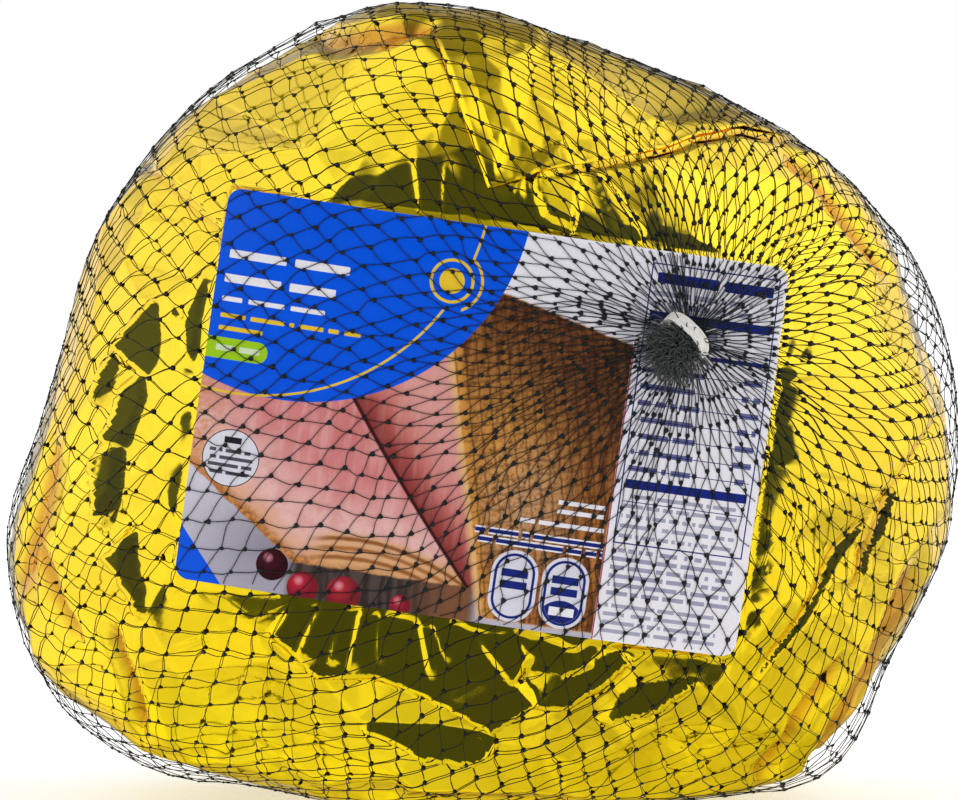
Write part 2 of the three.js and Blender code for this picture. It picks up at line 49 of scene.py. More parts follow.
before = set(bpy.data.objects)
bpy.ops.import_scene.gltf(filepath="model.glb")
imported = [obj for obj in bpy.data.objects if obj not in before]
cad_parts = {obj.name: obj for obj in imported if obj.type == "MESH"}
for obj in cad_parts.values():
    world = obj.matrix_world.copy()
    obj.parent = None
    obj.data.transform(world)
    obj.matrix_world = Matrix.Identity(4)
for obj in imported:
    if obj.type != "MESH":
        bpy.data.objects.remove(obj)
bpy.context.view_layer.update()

MM = 0.001
TURN = 2 * math.pi
TUBE_SIDES = 4

# ---- Form of the wrapped ham, in millimetres -----------------------------------------------------

# Middle of the pack to the net's outside, every 15 degrees counter-clockwise from the right.
OUTLINE_RADII = (
    126.4, 124.0, 118.9, 111.4, 105.6, 104.5, 110.0, 114.1, 112.8, 113.7, 113.0, 112.2,
    117.4, 130.6, 134.9, 127.6, 113.3, 109.0, 106.0, 109.0, 117.0, 130.5, 126.1, 128.1,
)
PACK_MIDDLE = np.array((0.0, 0.0, 100.4))
PACK_DEPTH = 70.0
FULLNESS = 2.8
NET_STANDOFF = 0.3
FOIL_FLOOR = 0.75
FLOOR_ROUNDING = 4.0

LABEL_WIDTH = 144.0
LABEL_HEIGHT = 100.0
LABEL_CORNER = 3.5
LABEL_MIDDLE = (0.5, 103.0)
LABEL_TILT = math.radians(-8.2)
LABEL_GAP = 0.2
LABEL_THICKNESS = 0.35
LABEL_STEP = 1.6
LABEL_SEED = 5

FRONT_GATHER = (52.0, 125.0)
GATHER_LEANS = {"front": (-0.28, -1.0, -0.28), "back": (0.28, 1.0, -0.28)}
GATHER_SEAT = 2.0
CLIP_LENGTH = 13.0
CLIP_BREADTH = 9.6
CLIP_WALL = 1.2
CLIP_HEIGHT = 5.0
CLIP_TIP = math.radians(30)
CLIP_START = -195
CLIP_SQUARENESS = 2.6
CLIP_STATIONS = 84

# The clip's band in turns round the neck, and its ribbed section: along the neck and outwards.
CLIP_TURNS = (-0.06, 1.12)
CLIP_SECTION = (
    (-1.4, -0.35), (-1.2, -0.55), (1.2, -0.55), (1.4, -0.35), (1.4, 0.35), (1.2, 0.58), (0.85, 0.6),
    (0.65, 0.44), (0.45, 0.6), (-0.45, 0.6), (-0.65, 0.44), (-0.85, 0.6), (-1.2, 0.58), (-1.4, 0.35),
)

# Which way each tuft's strands curl.
TUFT_SEEDS = {"front": 21, "back": 22}

# The net's collar round a gather, its knots' height over the foil and its cords' over the floor.
NET_COLLAR = 5.0
KNOT_LIFT = 0.24
CORD_FLOOR = 0.02

# A strand's tube has square corners, so it is wider than its cord by these factors.
STRAND_SWELL = 1.12
NECK_SWELL = 1.2

# A knot in shares of its length: its tips, and rings by their place, half width and half height.
KNOT_TIPS = (-0.5, 0.52)
KNOT_RINGS = ((-0.42, 0.30, 0.15), (-0.12, 0.36, 0.18), (0.2, 0.16, 0.12))

# The net is stretched lengthwise where it runs round the pack's sides.
SIDE_BAND = 62.0
SIDE_FADE = 25
SIDE_STRETCH = 0.16

# Rows of knots lie at least this share of a strand apart.
SHORTEST_STEP = 0.4

# Where columns of knots are drawn together near a gather: turn, width in degrees and pull.
BUNCHES = (
    (104, 17, 0.5), (166, 18, 0.45), (205, 14, 0.35), (262, 16, 0.3), (338, 16, 0.4), (38, 12, 0.3),
)

# The same bunches at the back are turned by this many radians.
BACK_BUNCH_TURN = 2.0

# Hollows where the foil falls away inside the taut net: x, y, z, radius and depth.
HOLLOWS = (
    (-58, 0, 198, 34, 2.6),
    (119, 0, 132, 30, 5.5),
    (122, 0, 92, 26, 1.6),
    (92, -50, 72, 18, 4.5),
    (48, -45, 185, 20, 3.0),
    (96, 0, 8, 22, 7),
    (-98, 0, 14, 24, 7.5),
    (-121, 0, 100, 28, 1.4),
    (40, 55, 190, 24, 5),
    (-80, 52, 150, 30, 4),
    (85, 50, 50, 26, 5),
    (-60, -52, 20, 22, 4),
)

# Pleats pressed into the foil: from x, z to x, z, front (-1) or back (1), width and depth.
PLEATS = (
    (122, 104, 72, 34, -1, 2.5, 1.6),
    (86, 2, 116, 64, -1, 6, 4.5),
    (80, 174, 110, 141, -1, 3.5, 3.2),
    (74, 4, 96, 40, -1, 4, 3.5),
    (109, 88, 100, 56, -1, 3, 2.2),
    (-46, 204.5, -12, 206.5, -1, 5, 4.0),
    (-96, 176, -66, 152, -1, 4, 1.6),
    (-122, 52, -112, 98, -1, 5, 3.0),
    (-118, 72, -106, 44, -1, 4.5, 3.2),
    (-96, 50, -90, 18, -1, 4, 3.6),
    (-90, 60, 60, 120, 1, 7, 3.5),
    (-30, 200, 70, 60, 1, 6, 3),
    (20, 20, 100, 110, 1, 6, 2.5),
)

# Flat plates pressed into the foil round the label: their tilt, then corners as x, z.
PLATES = (
    (12, (-83.5, 133), (-83, 125), (-83.5, 119), (-86, 115.5), (-88, 117.5), (-91, 121.5), (-88.5, 126)),
    (12, (-90.5, 122.5), (-92, 115), (-98, 108), (-95.5, 116), (-92.5, 121.5)),
    (11, (-87, 115), (-87, 109), (-90, 101), (-92.5, 97), (-96, 98), (-93, 104.5), (-91, 111)),
    (11, (-93, 96.5), (-94.5, 86), (-99.5, 76), (-99, 92), (-96.5, 96.5)),
    (12, (-91, 75), (-92, 66), (-88, 60), (-88, 54), (-92, 60), (-97, 68)),
    (12, (-71, 140), (-75, 131), (-76, 121), (-74, 119)),
    (
        12, (-53, 49), (-49, 54), (-20, 52), (8, 49), (12, 43),
        (9, 37), (14, 32), (3, 26), (-15, 34), (-27, 39), (-41, 39),
    ),
    (12, (14, 31), (22, 39), (37, 43), (39, 41), (30, 35), (22, 31)),
    (12, (32, 26), (37, 32), (56, 35), (46, 29)),
    (12, (-29, 24), (-10, 24), (3, 19), (-1, 17), (-15, 18)),
    (25, (16, 173), (21, 175), (26, 168), (23, 154), (17, 157), (14, 164)),
    (24, (30, 167), (35, 163), (41, 152), (36, 153), (32, 161)),
    (23, (44, 166), (57, 163), (57, 152), (46, 153)),
    (27, (79, 117), (88, 119), (88, 115), (80, 114)),
)

# How far a plate may stand over the form, and how wide the step at its edge is.
PLATE_RISE = 5.5
PLATE_DROP = 1.7

# A pleat this deep gets the full orange tint of painted reflection, which stands for foil reflecting foil
# in a deep fold.
PLEAT_BOUNCE_DEPTH = 2.9

# Narrow steps in the foil that catch the light: from x, z to x, z, width of the steep side, rise.
RIDGES = (
    (-17, 175, -15, 158, 1.3, 0.75),
    (-8.5, 171, -9.5, 157, 1.0, 0.60),
    (3, 166, 6, 178, 1.4, 0.80),
    (12, 172, 9, 160, 1.2, 0.65),
    (-30, 171, -38, 160, 1.2, 0.60),
    (-29, 59, -33, 40, 1.6, 0.85),
    (-25, 58, -26, 42, 1.0, 0.60),
    (-16, 57, -12, 38, 1.2, 0.75),
    (-13, 56, -8, 42, 1.1, 0.65),
    (-40, 57, -46, 43, 1.5, 0.75),
    (-36, 50, -38, 42, 1.0, 0.55),
    (14, 50, 27, 45, 1.2, 0.70),
    (30, 47, 46, 44, 1.3, 0.70),
    (0, 48, 9, 37, 1.1, 0.65),
    (3, 40, -8, 34, 0.9, 0.50),
    (-94, 100, -98, 84, 0.9, 0.45),
)

# The plates face a viewer who looks down by this angle.
VIEW_DOWN = math.radians(3)

# The edge of a loose flap of foil on the upper front, from its top corner down and to the right.
FLAP_EDGE = ((-13, 206), (2, 163), (21, 168.5), (42, 173), (58, 178.5), (69, 179.5), (86, 174.5))
FLAP_REACH = 12.0
FLAP_FOLD = 0.9
FLAP_THICKNESS = 0.25

# Shells of flat facets in the foil: rows of corners, their spacing, loose corners and height.
BROAD_SHELL = (190, 11.0, 160, 0.95)
SMALL_SHELL = (700, 5.0, 500, 0.32)

# Zigzag folds in the foil: wavelength, slope, how many, and how much of the foil they cover.
FOLD_LAYERS = ((52, 0.045, 5, 0.2), (26, 0.050, 6, -0.2), (13, 0.060, 9, -0.6), (7, 0.07, 8, -0.9))

# The camera's film and the point it looks at, in metres.
SENSOR_WIDTH = 36
CAMERA_TARGET = (-0.00027, 0, 0.1057)

# ---- Print on the label, in millimetres from its middle ------------------------------------------

# Berries: across, up, radius and colour.
BERRIES = (
    (-47.7, -42.8, 4.1, (84, 20, 30)),
    (-39.3, -47.4, 4.0, (212, 38, 62)),
    (-28.8, -47.4, 4.4, (204, 44, 60)),
    (-14.1, -48.4, 2.7, (206, 40, 62)),
)

# Edges of the folded slices: how far under the first, and colour.
SLICE_LINES = ((0.0, (150, 92, 44)), (2.4, (176, 112, 56)), (4.8, (160, 98, 46)))

# Scored lines on the glazed side: their tilt in radians, spacing and strength.
SCORE_LINES = ((0.22, 2.7, 0.55), (-1.30, 3.6, 0.40))

# The fact panel: its frame as left, right, bottom and top, and its bars as left, right, up, height.
PANEL_FRAME = (37.0, 70.2, -24.8, 46.8)
PANEL_LINE = 0.35
PANEL_PITCH = 4.2
PANEL_BARS = ((38.0, 69.2, 33.6, 2.3), (55.0, 69.2, 24.6, 1.1), (38.0, 69.2, -9.4, 2.3))

# Blocks of small bars: left, right, bottom, top, rows, height, length, seed, share of gaps. Those
# of the panel end with their strength.
PANEL_BLOCKS = (
    (38.2, 66.0, 35.2, 40.6, 2, 1.3, 1.0, 11.0, 0.22, 0.60),
    (38.2, 56.0, 25.4, 32.2, 2, 1.4, 1.1, 19.0, 0.20, 0.70),
    (64.2, 69.0, -7.5, 21.9, 7, 1.5, 1.2, 23.0, 0.10, 0.85),
    (38.2, 54.0, -7.5, 21.9, 7, 1.4, 1.2, 29.0, 0.15, 0.85),
    (38.2, 67.5, -24.0, -11.2, 5, 1.0, 0.85, 31.0, 0.24, 0.55),
    (37.2, 68.4, -38.6, -25.4, 6, 1.1, 0.9, 37.0, 0.20, 0.60),
    (37.2, 66.4, -48.4, -39.6, 4, 1.0, 0.85, 41.0, 0.22, 0.55),
)
SIDE_BLOCKS = (
    (22.0, 34.0, -20.0, -15.4, 2, 1.1, 0.95, 14.0, 0.1),
    (13.0, 34.4, -23.4, -21.2, 1, 1.1, 0.95, 15.0, 0.1),
    (2.0, 34.8, -29.6, -25.0, 2, 1.8, 0.95, 17.0, 0.12),
)

# Each row in a block starts this many bars further on in the same random run.
ROW_SHIFT = 7.3

# The round field: the middle of its ring, then its bars as up, height and spans.
FIELD_RING = (-12.7, 35.0)
FIELD_WORDS = (
    (33.6, 2.1, ((-69.4, -54.8), (-52.6, -38.6))),
    (27.4, 2.1, ((-69.8, -55.4), (-53.2, -41.4))),
    (22.2, 1.2, ((-69.8, -64.6), (-63.0, -53.8), (-52.2, -43.4))),
)
FIELD_SMALL_WORDS = (
    (18.0, ((-69.6, -63.2), (-61.9, -53.2), (-51.9, -50.7), (-49.4, -43.2))),
    (18.0, ((-41.9, -39.2), (-37.8, -33.6))),
    (14.8, ((-69.6, -58.4),)),
)

STAMP_MIDDLE = (-61.8, -17.6)

# Ovals near the lower edge: across, and whether the foot is filled.
OVALS = ((13.6, False), (26.6, True))

# ---- The form ------------------------------------------------------------------------------------


def to_mm(value):
    """Millimetres from a length property in metres."""
    return value / MM


def fade(value):
    """A smooth step from 0 to 1."""
    t = np.clip(value, 0.0, 1.0)
    return t * t * (3 - 2 * t)


def unit(vectors):
    """The vectors at length 1."""
    return vectors / np.maximum(np.linalg.norm(vectors, axis=-1, keepdims=True), 1e-12)


def outline_radius(angle):
    """Distance from the middle to the net's outside in the front view."""
    count = len(OUTLINE_RADII)
    radii = np.array(OUTLINE_RADII)
    place = np.mod(angle, TURN) / TURN * count
    index = np.floor(place).astype(int)
    t = place - index
    a, b, c, d = (radii[(index + step) % count] for step in (-1, 0, 1, 2))
    bend = 2 * a - 5 * b + 4 * c - d
    twist = 3 * b - a - 3 * c + d
    return 0.5 * (2 * b + (c - a) * t + bend * t**2 + twist * t**3)


def round_radius(directions):
    """Distance from the middle to the foil's full form, without its flat bottom."""
    outline = outline_radius(np.arctan2(directions[..., 2], directions[..., 0])) - NET_STANDOFF
    across = np.hypot(directions[..., 0], directions[..., 2]) / outline
    along = np.abs(directions[..., 1]) / PACK_DEPTH
    return (across**FULLNESS + along**FULLNESS) ** (-1 / FULLNESS)


def floor_radius(directions):
    """Distance from the middle to the plane of the flat bottom."""
    down = np.minimum(directions[..., 2], -1e-6)
    return (PACK_MIDDLE[2] - FOIL_FLOOR) / -down


def form_radius(directions):
    """Distance from the middle to the full, uncrumpled foil."""
    around = round_radius(directions)
    floor = floor_radius(directions)
    meeting = np.maximum(FLOOR_ROUNDING - np.abs(around - floor), 0) / FLOOR_ROUNDING
    return np.minimum(around, floor) - meeting**2 * FLOOR_ROUNDING / 4


def form_point(directions):
    """Points of the full form."""
    return PACK_MIDDLE + directions * form_radius(directions)[..., None]


def form_normal(points):
    """Outward normals of the form through points near it."""

    def level(at):
        offset = at - PACK_MIDDLE
        distance = np.linalg.norm(offset, axis=-1)
        return distance - form_radius(offset / distance[..., None])

    step = 0.4
    slope = []
    for axis in np.eye(3) * step:
        slope.append(level(points + axis) - level(points - axis))
    return unit(np.stack(slope, axis=-1))


def form_point_at(x, z):
    """The point of the form that shows at x and z from the front."""
    across = np.asarray(x, float) - PACK_MIDDLE[0]
    up = np.asarray(z, float) - PACK_MIDDLE[2]
    outline = outline_radius(np.arctan2(up, across)) - NET_STANDOFF
    reach = np.minimum(np.hypot(across, up) / outline, 0.999)
    y = -PACK_DEPTH * (1 - reach**FULLNESS) ** (1 / FULLNESS)
    return np.stack([across + PACK_MIDDLE[0], y, up + PACK_MIDDLE[2]], axis=-1)


# ---- Small helpers for meshes --------------------------------------------------------------------


def deselect():
    """Leaves nothing selected."""
    if bpy.context.mode != "OBJECT":
        bpy.ops.object.mode_set(mode="OBJECT")
    bpy.ops.object.select_all(action="DESELECT")


def activate(piece):
    """Selects one piece alone."""
    deselect()
    piece.select_set(True)
    bpy.context.view_layer.objects.active = piece


def get_points(mesh):
    """A mesh's vertices in millimetres."""
    flat = np.empty(len(mesh.vertices) * 3)
    mesh.vertices.foreach_get("co", flat)
    return flat.reshape(-1, 3) / MM


def set_points(mesh, points):
    """Moves a mesh's vertices to points in millimetres."""
    mesh.vertices.foreach_set("co", (points * MM).ravel())
    mesh.update()


def new_piece(name, points, faces, material):
    """A smooth mesh object at the origin from points in millimetres."""
    mesh = bpy.data.meshes.new(name)
    mesh.from_pydata((points * MM).tolist(), [], faces)
    mesh.materials.append(material)
    piece = bpy.data.objects.new(name, mesh)
    bpy.context.scene.collection.objects.link(piece)
    mesh.shade_smooth()
    mesh.update()
    return piece


def finish_piece(piece, node):
    """Makes a piece ride on the pack and stand for the CAD node, which it hides."""
    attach(piece, "root")
    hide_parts(node)


def random_direction(rng):
    """A direction spread evenly over the sphere."""
    return unit(rng.normal(size=3))


def waves(points, rng, wavelength, count=7):
    """A smooth random field of about unit size."""
    total = np.zeros(len(points))
    for _ in range(count):
        pitch = wavelength * rng.uniform(0.7, 1.5)
        total += np.sin(points @ random_direction(rng) * (TURN / pitch) + rng.uniform(0, TURN))
    return total / math.sqrt(count / 2)


def zigzag(value):
    """A triangle wave between -1 and 1."""
    return 4 * np.abs(value - np.floor(value + 0.5)) - 1


def bezier(t, first, second, third, last):
    """Points of a cubic curve at the shares t of its way."""
    return (1 - t) ** 3 * first + 3 * t * (1 - t) ** 2 * second + 3 * t**2 * (1 - t) * third + t**3 * last


def cross_frame(lines):
    """Two directions square to the lines at each of their points."""
    chords = unit(np.gradient(lines, axis=1))
    sides = unit(np.cross(chords, np.array((0.31, 0.23, 0.92))))
    return sides, np.cross(sides, chords)


def tubes(lines, frame, half_width):
    """Closed tubes along lines of points, a (tubes, stations, 3) array: their points and faces."""
    count, stations = lines.shape[:2]
    sides, normals = frame
    rings = []
    for k in range(TUBE_SIDES):
        turn = TURN * (k + 0.5) / TUBE_SIDES
        rings.append(lines + half_width * (math.cos(turn) * sides + math.sin(turn) * normals))
    points = np.stack(rings, axis=2).reshape(-1, 3)
    starts = np.arange(count)[:, None] * stations * TUBE_SIDES
    first = starts[:, :, None] + np.arange(stations - 1)[None, :, None] * TUBE_SIDES
    here = np.arange(TUBE_SIDES)
    there = (here + 1) % TUBE_SIDES
    quads = [first + here, first + there, first + TUBE_SIDES + there, first + TUBE_SIDES + here]
    quads = np.stack(quads, axis=-1).reshape(-1, 4)
    head = starts + here[::-1]
    tail = starts + (stations - 1) * TUBE_SIDES + here
    return points, np.concatenate([quads, head, tail]).tolist()


def turned_out(piece):
    """Recalculates a closed piece's normals so that they point outwards."""
    mesh = piece.data
    work = bmesh.new()
    work.from_mesh(mesh)
    bmesh.ops.recalc_face_normals(work, faces=work.faces)
    work.to_mesh(mesh)
    work.free()


def thicken(piece, thickness, offset):
    """Gives a sheet its thickness in millimetres, inwards (-1) or to both sides (0)."""
    activate(piece)
    solid = piece.modifiers.new("thickness", "SOLIDIFY")
    solid.thickness = thickness * MM
    solid.offset = offset
    bpy.ops.object.modifier_apply(modifier=solid.name)


def make_cords(name, lines, frame, half_width, material, node):
    """A piece of cords along lines of points, kept above the floor."""
    points, faces = tubes(lines, frame, half_width)
    points[:, 2] = np.maximum(points[:, 2], CORD_FLOOR)
    piece = new_piece(name, points, faces, material)
    turned_out(piece)
    finish_piece(piece, node)


# ---- Small helpers for materials -----------------------------------------------------------------


class NodeKit:
    """Adds nodes to a material or world and returns their sockets."""

    def __init__(self, tree):
        self.tree = tree

    def add(self, kind, *values, **settings):
        """A node with its settings and its first inputs."""
        node = self.tree.nodes.new(kind)
        for name, value in settings.items():
            setattr(node, name, value)
        for socket, value in zip(node.inputs, values):
            self.put(socket, value)
        return node

    def put(self, socket, value):
        """A link or a constant on an input."""
        if isinstance(value, bpy.types.NodeSocket):
            self.tree.links.new(value, socket)
        else:
            socket.default_value = value

    def calc(self, operation, *values, clamp=False):
        """A Math node."""
        return self.add("ShaderNodeMath", *values, operation=operation, use_clamp=clamp).outputs[0]

    def plus(self, first, *others):
        """A sum."""
        for other in others:
            first = self.calc("ADD", first, other)
        return first

    def minus(self, first, second):
        """A difference."""
        return self.calc("SUBTRACT", first, second)

    def times(self, first, second):
        """A product, or the overlap of two masks."""
        return self.calc("MULTIPLY", first, second)

    def scaled(self, value, factor, offset):
        """A value times a factor plus an offset."""
        return self.calc("MULTIPLY_ADD", value, factor, offset)

    def size(self, value):
        """A value without its sign."""
        return self.calc("ABSOLUTE", value)

    def join(self, *parts):
        """A vector of up to three parts."""
        return self.add("ShaderNodeCombineXYZ", *parts).outputs[0]

    def split(self, vector):
        """The three parts of a vector."""
        return self.add("ShaderNodeSeparateXYZ", vector).outputs

    def place(self):
        """The place on the piece, in metres."""
        return self.add("ShaderNodeTexCoord").outputs["Object"]

    def vector(self, operation, *values, output=0):
        """A Vector Math node."""
        return self.add("ShaderNodeVectorMath", *values, operation=operation).outputs[output]

    def scale(self, vector, factor):
        """A vector times a number."""
        node = self.add("ShaderNodeVectorMath", vector, operation="SCALE")
        self.put(node.inputs["Scale"], factor)
        return node.outputs[0]

    def spread(self, value, low, high, start=0.0, end=1.0, kind="SMOOTHSTEP"):
        """Maps low..high to start..end."""
        node = self.add(
            "ShaderNodeMapRange", value, low, high, start, end, interpolation_type=kind, clamp=True
        )
        return node.outputs[0]

    def mix(self, share, first, second, blend="MIX"):
        """A colour mix."""
        node = self.add("ShaderNodeMix", share, data_type="RGBA", blend_type=blend)
        self.put(node.inputs[6], first)
        self.put(node.inputs[7], second)
        return node.outputs[2]

    def noise(self, place, scale, detail=2.0, roughness=0.5, colour=False):
        """A noise texture."""
        node = self.add("ShaderNodeTexNoise", place)
        node.inputs["Scale"].default_value = scale
        node.inputs["Detail"].default_value = detail
        node.inputs["Roughness"].default_value = roughness
        return node.outputs["Color" if colour else "Fac"]

    def voronoi(self, place, scale, distance):
        """A Voronoi texture's distance."""
        node = self.add("ShaderNodeTexVoronoi", place, distance=distance)
        node.inputs["Scale"].default_value = scale
        return node.outputs["Distance"]

    def bump(self, height, distance, strength=1.0, normal=None):
        """A Bump node over a height."""
        node = self.add("ShaderNodeBump")
        node.inputs["Strength"].default_value = strength
        node.inputs["Distance"].default_value = distance
        self.put(node.inputs["Height"], height)
        if normal is not None:
            self.put(node.inputs["Normal"], normal)
        return node.outputs[0]


def new_material(name):
    """A material with its node kit and its main shader."""
    material = bpy.data.materials.new(name)
    material.use_nodes = True
    kit = NodeKit(material.node_tree)
    shader = next(n for n in material.node_tree.nodes if n.type == "BSDF_PRINCIPLED")
    return material, kit, shader


def rgb(*colour):
    """Scene-linear colour from display values of red, green and blue from 0 to 255."""
    shown = np.array(colour) / 255
    low = shown / 12.92
    high = ((shown + 0.055) / 1.055) ** 2.4
    return (*np.where(shown <= 0.04045, low, high).tolist(), 1.0)


# ---- Settings ------------------------------------------------------------------------------------


class FoilSettings(bpy.types.PropertyGroup):
    """The wrap of gold foil."""

    crumple: FloatProperty(
        name="Crumple", description="How strongly the foil is crumpled", default=1.0, min=0
    )
    seed: IntProperty(name="Seed", description="Which crumples the foil has", default=7, min=0)
    colour: FloatVectorProperty(
        name="Colour", description="Colour of the metal", subtype="COLOR", size=3,
        default=(1.0, 0.748, 0.008), min=0, max=1,
    )
    # Painted reflection: the orange that foil reflecting foil shows in deep folds, laid into the base
    # colour there.
    fold: FloatVectorProperty(
        name="Fold", description="Colour in the deep folds", subtype="COLOR", size=3,
        default=(0.66, 0.31, 0.004), min=0, max=1,
    )
    roughness: FloatProperty(
        name="Roughness", description="Dullness of the metal", default=0.07, min=0, max=1
    )


class LabelSettings(bpy.types.PropertyGroup):
    """The printed paper label."""

    paper: FloatVectorProperty(
        name="Paper", description="Colour of the bare paper", subtype="COLOR", size=3,
        default=(0.88, 0.855, 0.875), min=0, max=1,
    )
    field: FloatVectorProperty(
        name="Field", description="Colour of the round field at its upper left", subtype="COLOR", size=3,
        default=(0.0, 0.098, 0.78), min=0, max=1,
    )
    line: FloatVectorProperty(
        name="Line", description="Colour of the arc and the ring", subtype="COLOR", size=3,
        default=(0.86, 0.58, 0.03), min=0, max=1,
    )
    ink: FloatVectorProperty(
        name="Ink", description="Colour of the bars in the panel", subtype="COLOR", size=3,
        default=(0.008, 0.02, 0.20), min=0, max=1,
    )
    waviness: FloatProperty(
        name="Waviness", description="Height of the waves in the paper", default=0.00018,
        unit="LENGTH", min=0,
    )


class NetSettings(bpy.types.PropertyGroup):
    """The knotted net."""

    columns: IntProperty(name="Columns", description="Knots round the pack", default=88, min=12)
    strand: FloatProperty(
        name="Strand", description="Length between two knots", default=0.0058, unit="LENGTH", min=0.001
    )
    cord: FloatProperty(
        name="Cord", description="Thickness of a strand", default=0.00022, unit="LENGTH", min=0.0001
    )
    knot: FloatProperty(
        name="Knot", description="Length of a knot", default=0.0018, unit="LENGTH", min=0.0001
    )
    shake: FloatProperty(
        name="Shake", description="Unevenness of the knots", default=0.0004, unit="LENGTH", min=0
    )
    colour: FloatVectorProperty(
        name="Colour", description="Colour of the cord", subtype="COLOR", size=3,
        default=(0.008, 0.0105, 0.009), min=0, max=1,
    )
    seed: IntProperty(name="Seed", description="Which way the net is uneven", default=3, min=0)


class GatherSettings(bpy.types.PropertyGroup):
    """The clips and the tufts of net ends."""

    strands: IntProperty(name="Strands", description="Curled strands in a tuft", default=340, min=10)
    curl: FloatProperty(
        name="Curl", description="Radius of the curls", default=0.0009, unit="LENGTH", min=0
    )
    clip_colour: FloatVectorProperty(
        name="Clip", description="Colour of the clips", subtype="COLOR", size=3,
        default=(0.80, 0.78, 0.70), min=0, max=1,
    )


class StageSettings(bpy.types.PropertyGroup):
    """Floor, light and camera."""

    distance: FloatProperty(
        name="Distance", description="Camera to the pack", default=1.6, unit="LENGTH", min=0.5
    )
    elevation: FloatProperty(
        name="Elevation", description="Camera above the horizon", default=math.radians(3),
        subtype="ANGLE",
    )
    width: FloatProperty(
        name="Width", description="Width of the picture at the pack", default=0.2539,
        unit="LENGTH", min=0.05,
    )
    light: FloatProperty(name="Light", description="Brightness of the studio", default=1.0, min=0)


# ---- Foil ----------------------------------------------------------------------------------------


def label_offset(points):
    """Points' place on the label's flat sheet."""
    x = points[..., 0] - LABEL_MIDDLE[0]
    z = points[..., 2] - LABEL_MIDDLE[1]
    c, s = math.cos(LABEL_TILT), math.sin(LABEL_TILT)
    return x * c + z * s, z * c - x * s


def label_cover(points, margin):
    """1 under the label, falling to 0 at a margin outside it."""
    u, v = label_offset(points)
    outside = np.maximum(np.abs(u) - LABEL_WIDTH / 2, np.abs(v) - LABEL_HEIGHT / 2)
    return np.where(points[..., 1] < 0, 1 - fade(outside / margin), 0.0)


def line_frame(points, x0, z0, x1, z1):
    """Share along a line in the front view, and distance across it."""
    run = np.array((x1 - x0, z1 - z0), float)
    length = np.linalg.norm(run)
    run /= length
    x = points[:, 0] - x0
    z = points[:, 2] - z0
    return (x * run[0] + z * run[1]) / length, x * run[1] - z * run[0]


def pleat_depth(points):
    """Depth of the furrows pressed into the foil."""
    depth = np.zeros(len(points))
    for x0, z0, x1, z1, side, width, deep in PLEATS:
        along, across = line_frame(points, x0, z0, x1, z1)
        ends = fade((0.6 - np.abs(along - 0.5)) / 0.3)
        wall = np.where(across > 0, across / width, -across / (0.45 * width))
        furrow = deep * ends * np.maximum(0, 1 - wall)
        depth = np.maximum(depth, np.where(points[:, 1] * side > 0, furrow, 0))
    return depth


def edge_distance(x, z, corners):
    """Distance inside a polygon's edge, below 0 outside it."""
    nearest = np.full(x.shape, np.inf)
    inside = np.zeros(x.shape, bool)
    for (x0, z0), (x1, z1) in zip(corners, (*corners[1:], corners[0])):
        run_x, run_z = x1 - x0, z1 - z0
        along = np.clip(((x - x0) * run_x + (z - z0) * run_z) / (run_x**2 + run_z**2), 0, 1)
        nearest = np.minimum(nearest, np.hypot(x - x0 - along * run_x, z - z0 - along * run_z))
        if run_z:
            crossed = (z > z0) != (z > z1)
            inside ^= crossed & (x < x0 + (z - z0) * run_x / run_z)
    return np.where(inside, nearest, -nearest)


def plate_height(points, directions, radius):
    """Height of the flat plates that face forwards, and how much of a plate the foil is there."""
    height = np.zeros(len(points))
    cover = np.zeros(len(points))
    ahead = np.where(points[:, 1] < 0)[0]
    ways = directions[ahead]
    viewed = np.array((0.0, -math.cos(VIEW_DOWN), math.sin(VIEW_DOWN)))
    for tilt, *corners in PLATES:
        ends = np.array(corners, float)
        feet = form_point_at(ends[:, 0], ends[:, 1])
        foot = feet.mean(axis=0)
        upright = form_normal(foot[None])[0]
        lean = unit(upright - viewed * (upright @ viewed))
        angle = math.radians(tilt)
        turned = viewed * math.cos(angle) + lean * math.sin(angle)
        touch = ((feet - PACK_MIDDLE) @ turned).max()
        rise = touch / np.maximum(ways @ turned, 0.2) - radius[ahead]
        edge = edge_distance(points[ahead, 0], points[ahead, 2], corners)
        rise = np.clip(rise, 0, PLATE_RISE) * np.clip(1 + edge / PLATE_DROP, 0, 1)
        height[ahead] = np.maximum(height[ahead], rise)
        cover[ahead] = np.maximum(cover[ahead], fade((edge + 0.4) / 0.6))
    return height, cover


def ridge_height(points):
    """Height of the narrow steps on the front: steep on one side and almost flat on the other."""
    height = np.zeros(len(points))
    for x0, z0, x1, z1, width, rise in RIDGES:
        along, across = line_frame(points, x0, z0, x1, z1)
        ends = fade((0.6 - np.abs(along - 0.5)) / 0.35)
        fall = np.where(across > 0, across / width, -across / (4 * width))
        height += np.where(points[:, 1] < 0, rise * ends * np.clip(1 - fall, 0, 1), 0)
    return height


def flap_fold(points):
    """Share of the deep fold under the right edge of the loose flap, which also sets the painted
    reflection tint there.
    """
    edge = np.array(FLAP_EDGE, float)
    over = points[:, 2] - np.interp(points[:, 0], edge[1:, 0], edge[1:, 1])
    run = fade((points[:, 0] - edge[1, 0] - 10) / 12) * fade((92 - points[:, 0]) / 8)
    return np.clip(1 - np.abs(over + 0.9) / 1.7, 0, 1) * run * (points[:, 1] < 0)


